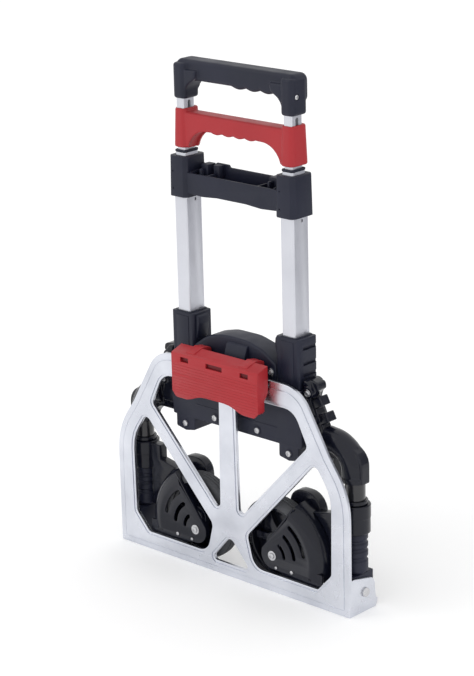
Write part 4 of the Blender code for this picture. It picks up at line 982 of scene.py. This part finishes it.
# %% cross member
tab = [(89.3, 241, 1), (89.3, 221, 3), (109.3, 217, 6), (129.3, 221, 3), (129.3, 241, 1)]
half = tab + [(136, 241, 3), (136, 335, 1)]
beam_edge = rounded(half + [(-x, z, r) for x, z, r in reversed(half)])
beam = board("beam", [beam_edge], "xz", 20, 62.5, 1.2, 2)
for left in (-88.3, -43.2, 1.9, 47):
    carve(beam, board("pocket", [oblong(left + 21, 288, 41, 84, 3)], "xz", 25, 80, 0.2, 0))
for way in (-1, 1):
    carve(beam, board("bore", [tube_outline(way * X, 26.6, 35.6, 3.2)], "xy", 223.7, 350, 0.1, 0))
    weld(beam, board("ridge", [oblong(way * 47, 266, 78, 1.6, 0.7)], "xz", 19.4, 21, 0.3, 1))
    weld(beam, board("pad", [oblong(way * 45, 252, 15, 15, 7)], "xz", 19.2, 21, 0.4, 1))
    weld(beam, board("pad", [oblong(way * X, 229, 15, 15, 7)], "xz", 19.4, 21, 0.4, 1))
complete(beam, etched_black, "frame", "black_plastic", "cross_member")
for side, way in SIDES:
    for row, (x, z) in enumerate(((109.3, 229), (45, 252))):
        screw("cross_screw_%s_%d" % (side, row + 1), (way * x, 18.8, z), "-y", 5, "frame",
              nodes=("cross_bolt_%s_%d" % (side, row + 1),))
print("cross member:", len(beam.data.polygons), "faces")

# %% sockets
mouth = tube_outline(X, 26.6, 35.6, 3.2)
shell = board("socket", [tube_outline(X, 47, 43, 5), mouth], "xy", 335.3, 414, 1, 2)
weld(shell, board("low_rim", [tube_outline(X, 33, 40, 4), mouth], "xy", 411, 415.4, 0.8, 2))
panel = rounded([(96, 340, 1), (122, 340, 1), (122, 409, 1), (96, 409, 1)])
weld(shell, board("panel", [panel], "xz", 19.2, 21, 0.5, 1))
lobe = rounded([(84.5, 372, 2), (92, 372, 1), (92, 411, 1), (80.5, 411, 5), (79, 398, 6)])
weld(shell, board("lobe", [lobe], "xz", 26, 50, 1.5, 2))
for z in (354, 372, 396):
    carve(shell, block("notch", (129.2, 30, z), (139, 70, z + 5.5), 0))
    carve(shell, block("notch", (96, 59.5, z), (124, 70, z + 5.5), 0))
pair(shell, "socket_%s_moulding", etched_black, "frame", "black_plastic", "socket_%s")
print("socket:", len(shell.data.polygons), "faces")

# %% arch cover
rise = [(85.5, 335.3, 0), (85.5, 366, 6), (58, 385, 60), (24, 393.5, 60)]
arch_edge = rounded(rise + [(-x, z, r) for x, z, r in reversed(rise)], 6)
cover = board("arch", [arch_edge], "xz", 20, 60, 4, 4)
room = rounded([(82, 338, 2), (82, 363, 5), (57, 380.5, 56), (24, 389, 56), (-24, 389, 56), (-57, 380.5, 56),
                (-82, 363, 5), (-82, 338, 2)], 8)
carve(cover, board("room", [room], "xz", 24, 70, 0.5, 1))
for x in (-28.2, 28.2):
    weld(cover, block("rib", (x - 1.5, 22, 336), (x + 1.5, 58, 386), 0.4))
ledge = rounded([(23, 349, 0), (23, 359.5, 0), (9, 359, 1), (9, 353, 1)])
weld(cover, board("ledge", [ledge], "yz", -70, 70, 0.4, 1))
thumb = rounded([(22.3, 357, 2), (22.3, 388, 2), (16, 383, 2.5), (9, 364, 3)])
weld(cover, board("thumb_tab", [thumb], "yz", -12, 30, 0.9, 3))
for way in (-1, 1):
    weld(cover, turned("boss", [(0, 18), (6, 18), (7, 19), (7, 30), (0, 30)], "y", way * 77, 0, 354, 40))
complete(cover, etched_black, "frame", "black_plastic", "arch_cover", smooth=40)
for side, way in SIDES:
    screw("arch_screw_" + side, (way * 77, 17.6, 354), "-y", 3.6, "frame", 5.6)
print("arch cover:", len(cover.data.polygons), "faces")

# %% [markdown]
# ## The studio
#
# A white floor and a white world leave almost no shadow. Two large soft lights model the round
# mouldings. A grey card, which the camera does not see, gives the metal something to reflect.

# %% floor and world
bpy.ops.object.select_all(action="DESELECT")
bpy.ops.mesh.primitive_plane_add(size=12, location=(0, 0, 0))
floor = bpy.context.view_layer.objects.active
floor.name = "studio_floor"
paper, nodes, links, shader, place = finish("studio_paper", (0.97, 0.97, 0.97), 0.9)
spread(nodes, links, noise(nodes, links, place, 4), 0.86, 0.94, shader.inputs["Roughness"])
shader.inputs["Emission Color"].default_value = (1, 1, 1, 1)
shader.inputs["Emission Strength"].default_value = 0.1
floor.data.materials.append(paper)
world = bpy.data.worlds.new("studio") if not bpy.context.scene.world else bpy.context.scene.world
bpy.context.scene.world = world
world.use_nodes = True
world.node_tree.nodes["Background"].inputs["Color"].default_value = (1, 1, 1, 1)
world.node_tree.nodes["Background"].inputs["Strength"].default_value = 1.0
bpy.context.scene.view_settings.view_transform = "Standard"
print("studio is white")


# %% lights
def softbox(name, place, aim, size, power):
    """A round soft light that faces its aim."""
    light = bpy.data.lights.new(name, "AREA")
    light.shape = "DISK"
    light.size = size
    light.energy = power
    lamp = bpy.data.objects.new(name, light)
    bpy.context.scene.collection.objects.link(lamp)
    lamp.location = place
    lamp.rotation_euler = (Vector(aim) - Vector(place)).to_track_quat("-Z", "Y").to_euler()


softbox("key", (-1.6, -2.2, 2.4), (0, 0, 0.4), 1.6, 8)
softbox("side", (2.6, 0.2, 1.6), (0, 0, 0.4), 1.2, 3)


def card(name, place, aim, size, grey):
    """A standing grey card, out of the picture, for the metal to reflect."""
    bpy.ops.object.select_all(action="DESELECT")
    bpy.ops.mesh.primitive_plane_add(size=size, location=place)
    sheet = bpy.context.view_layer.objects.active
    sheet.name = name
    sheet.rotation_euler = (Vector(aim) - Vector(place)).to_track_quat("Z", "Y").to_euler()
    board_grey, tree, wires, gloss, here = finish(name + "_paint", (grey, grey, grey * 1.05), 0.9)
    spread(tree, wires, noise(tree, wires, here, 3), 0.85, 0.95, gloss.inputs["Roughness"])
    sheet.data.materials.append(board_grey)
    sheet.visible_camera = False


card("grey_card", (1.3, 1.2, 0.7), (0, 0, 0.7), 1.4, 0.42)
print("two soft lights and a grey card")

# %% camera
right = Vector((0.7349, 0.6778, -0.0234))
up = Vector((-0.1900, 0.2389, 0.9523))
forward = Vector((-0.6510, 0.6954, -0.3044))
lens = bpy.data.cameras.new("view")
lens.lens = 118.06
lens.sensor_width = 36
lens.clip_start, lens.clip_end = 0.1, 20
camera = bpy.data.objects.new("view", lens)
bpy.context.scene.collection.objects.link(camera)
turn = Matrix((right, up, -forward)).transposed().to_4x4()
camera.matrix_world = Matrix.Translation((2.22287, -2.36710, 1.43020)) @ turn
bpy.context.scene.camera = camera
print("camera at", [round(value, 2) for value in camera.location])

# %% finish
print("pieces made:", len(pieces_made))
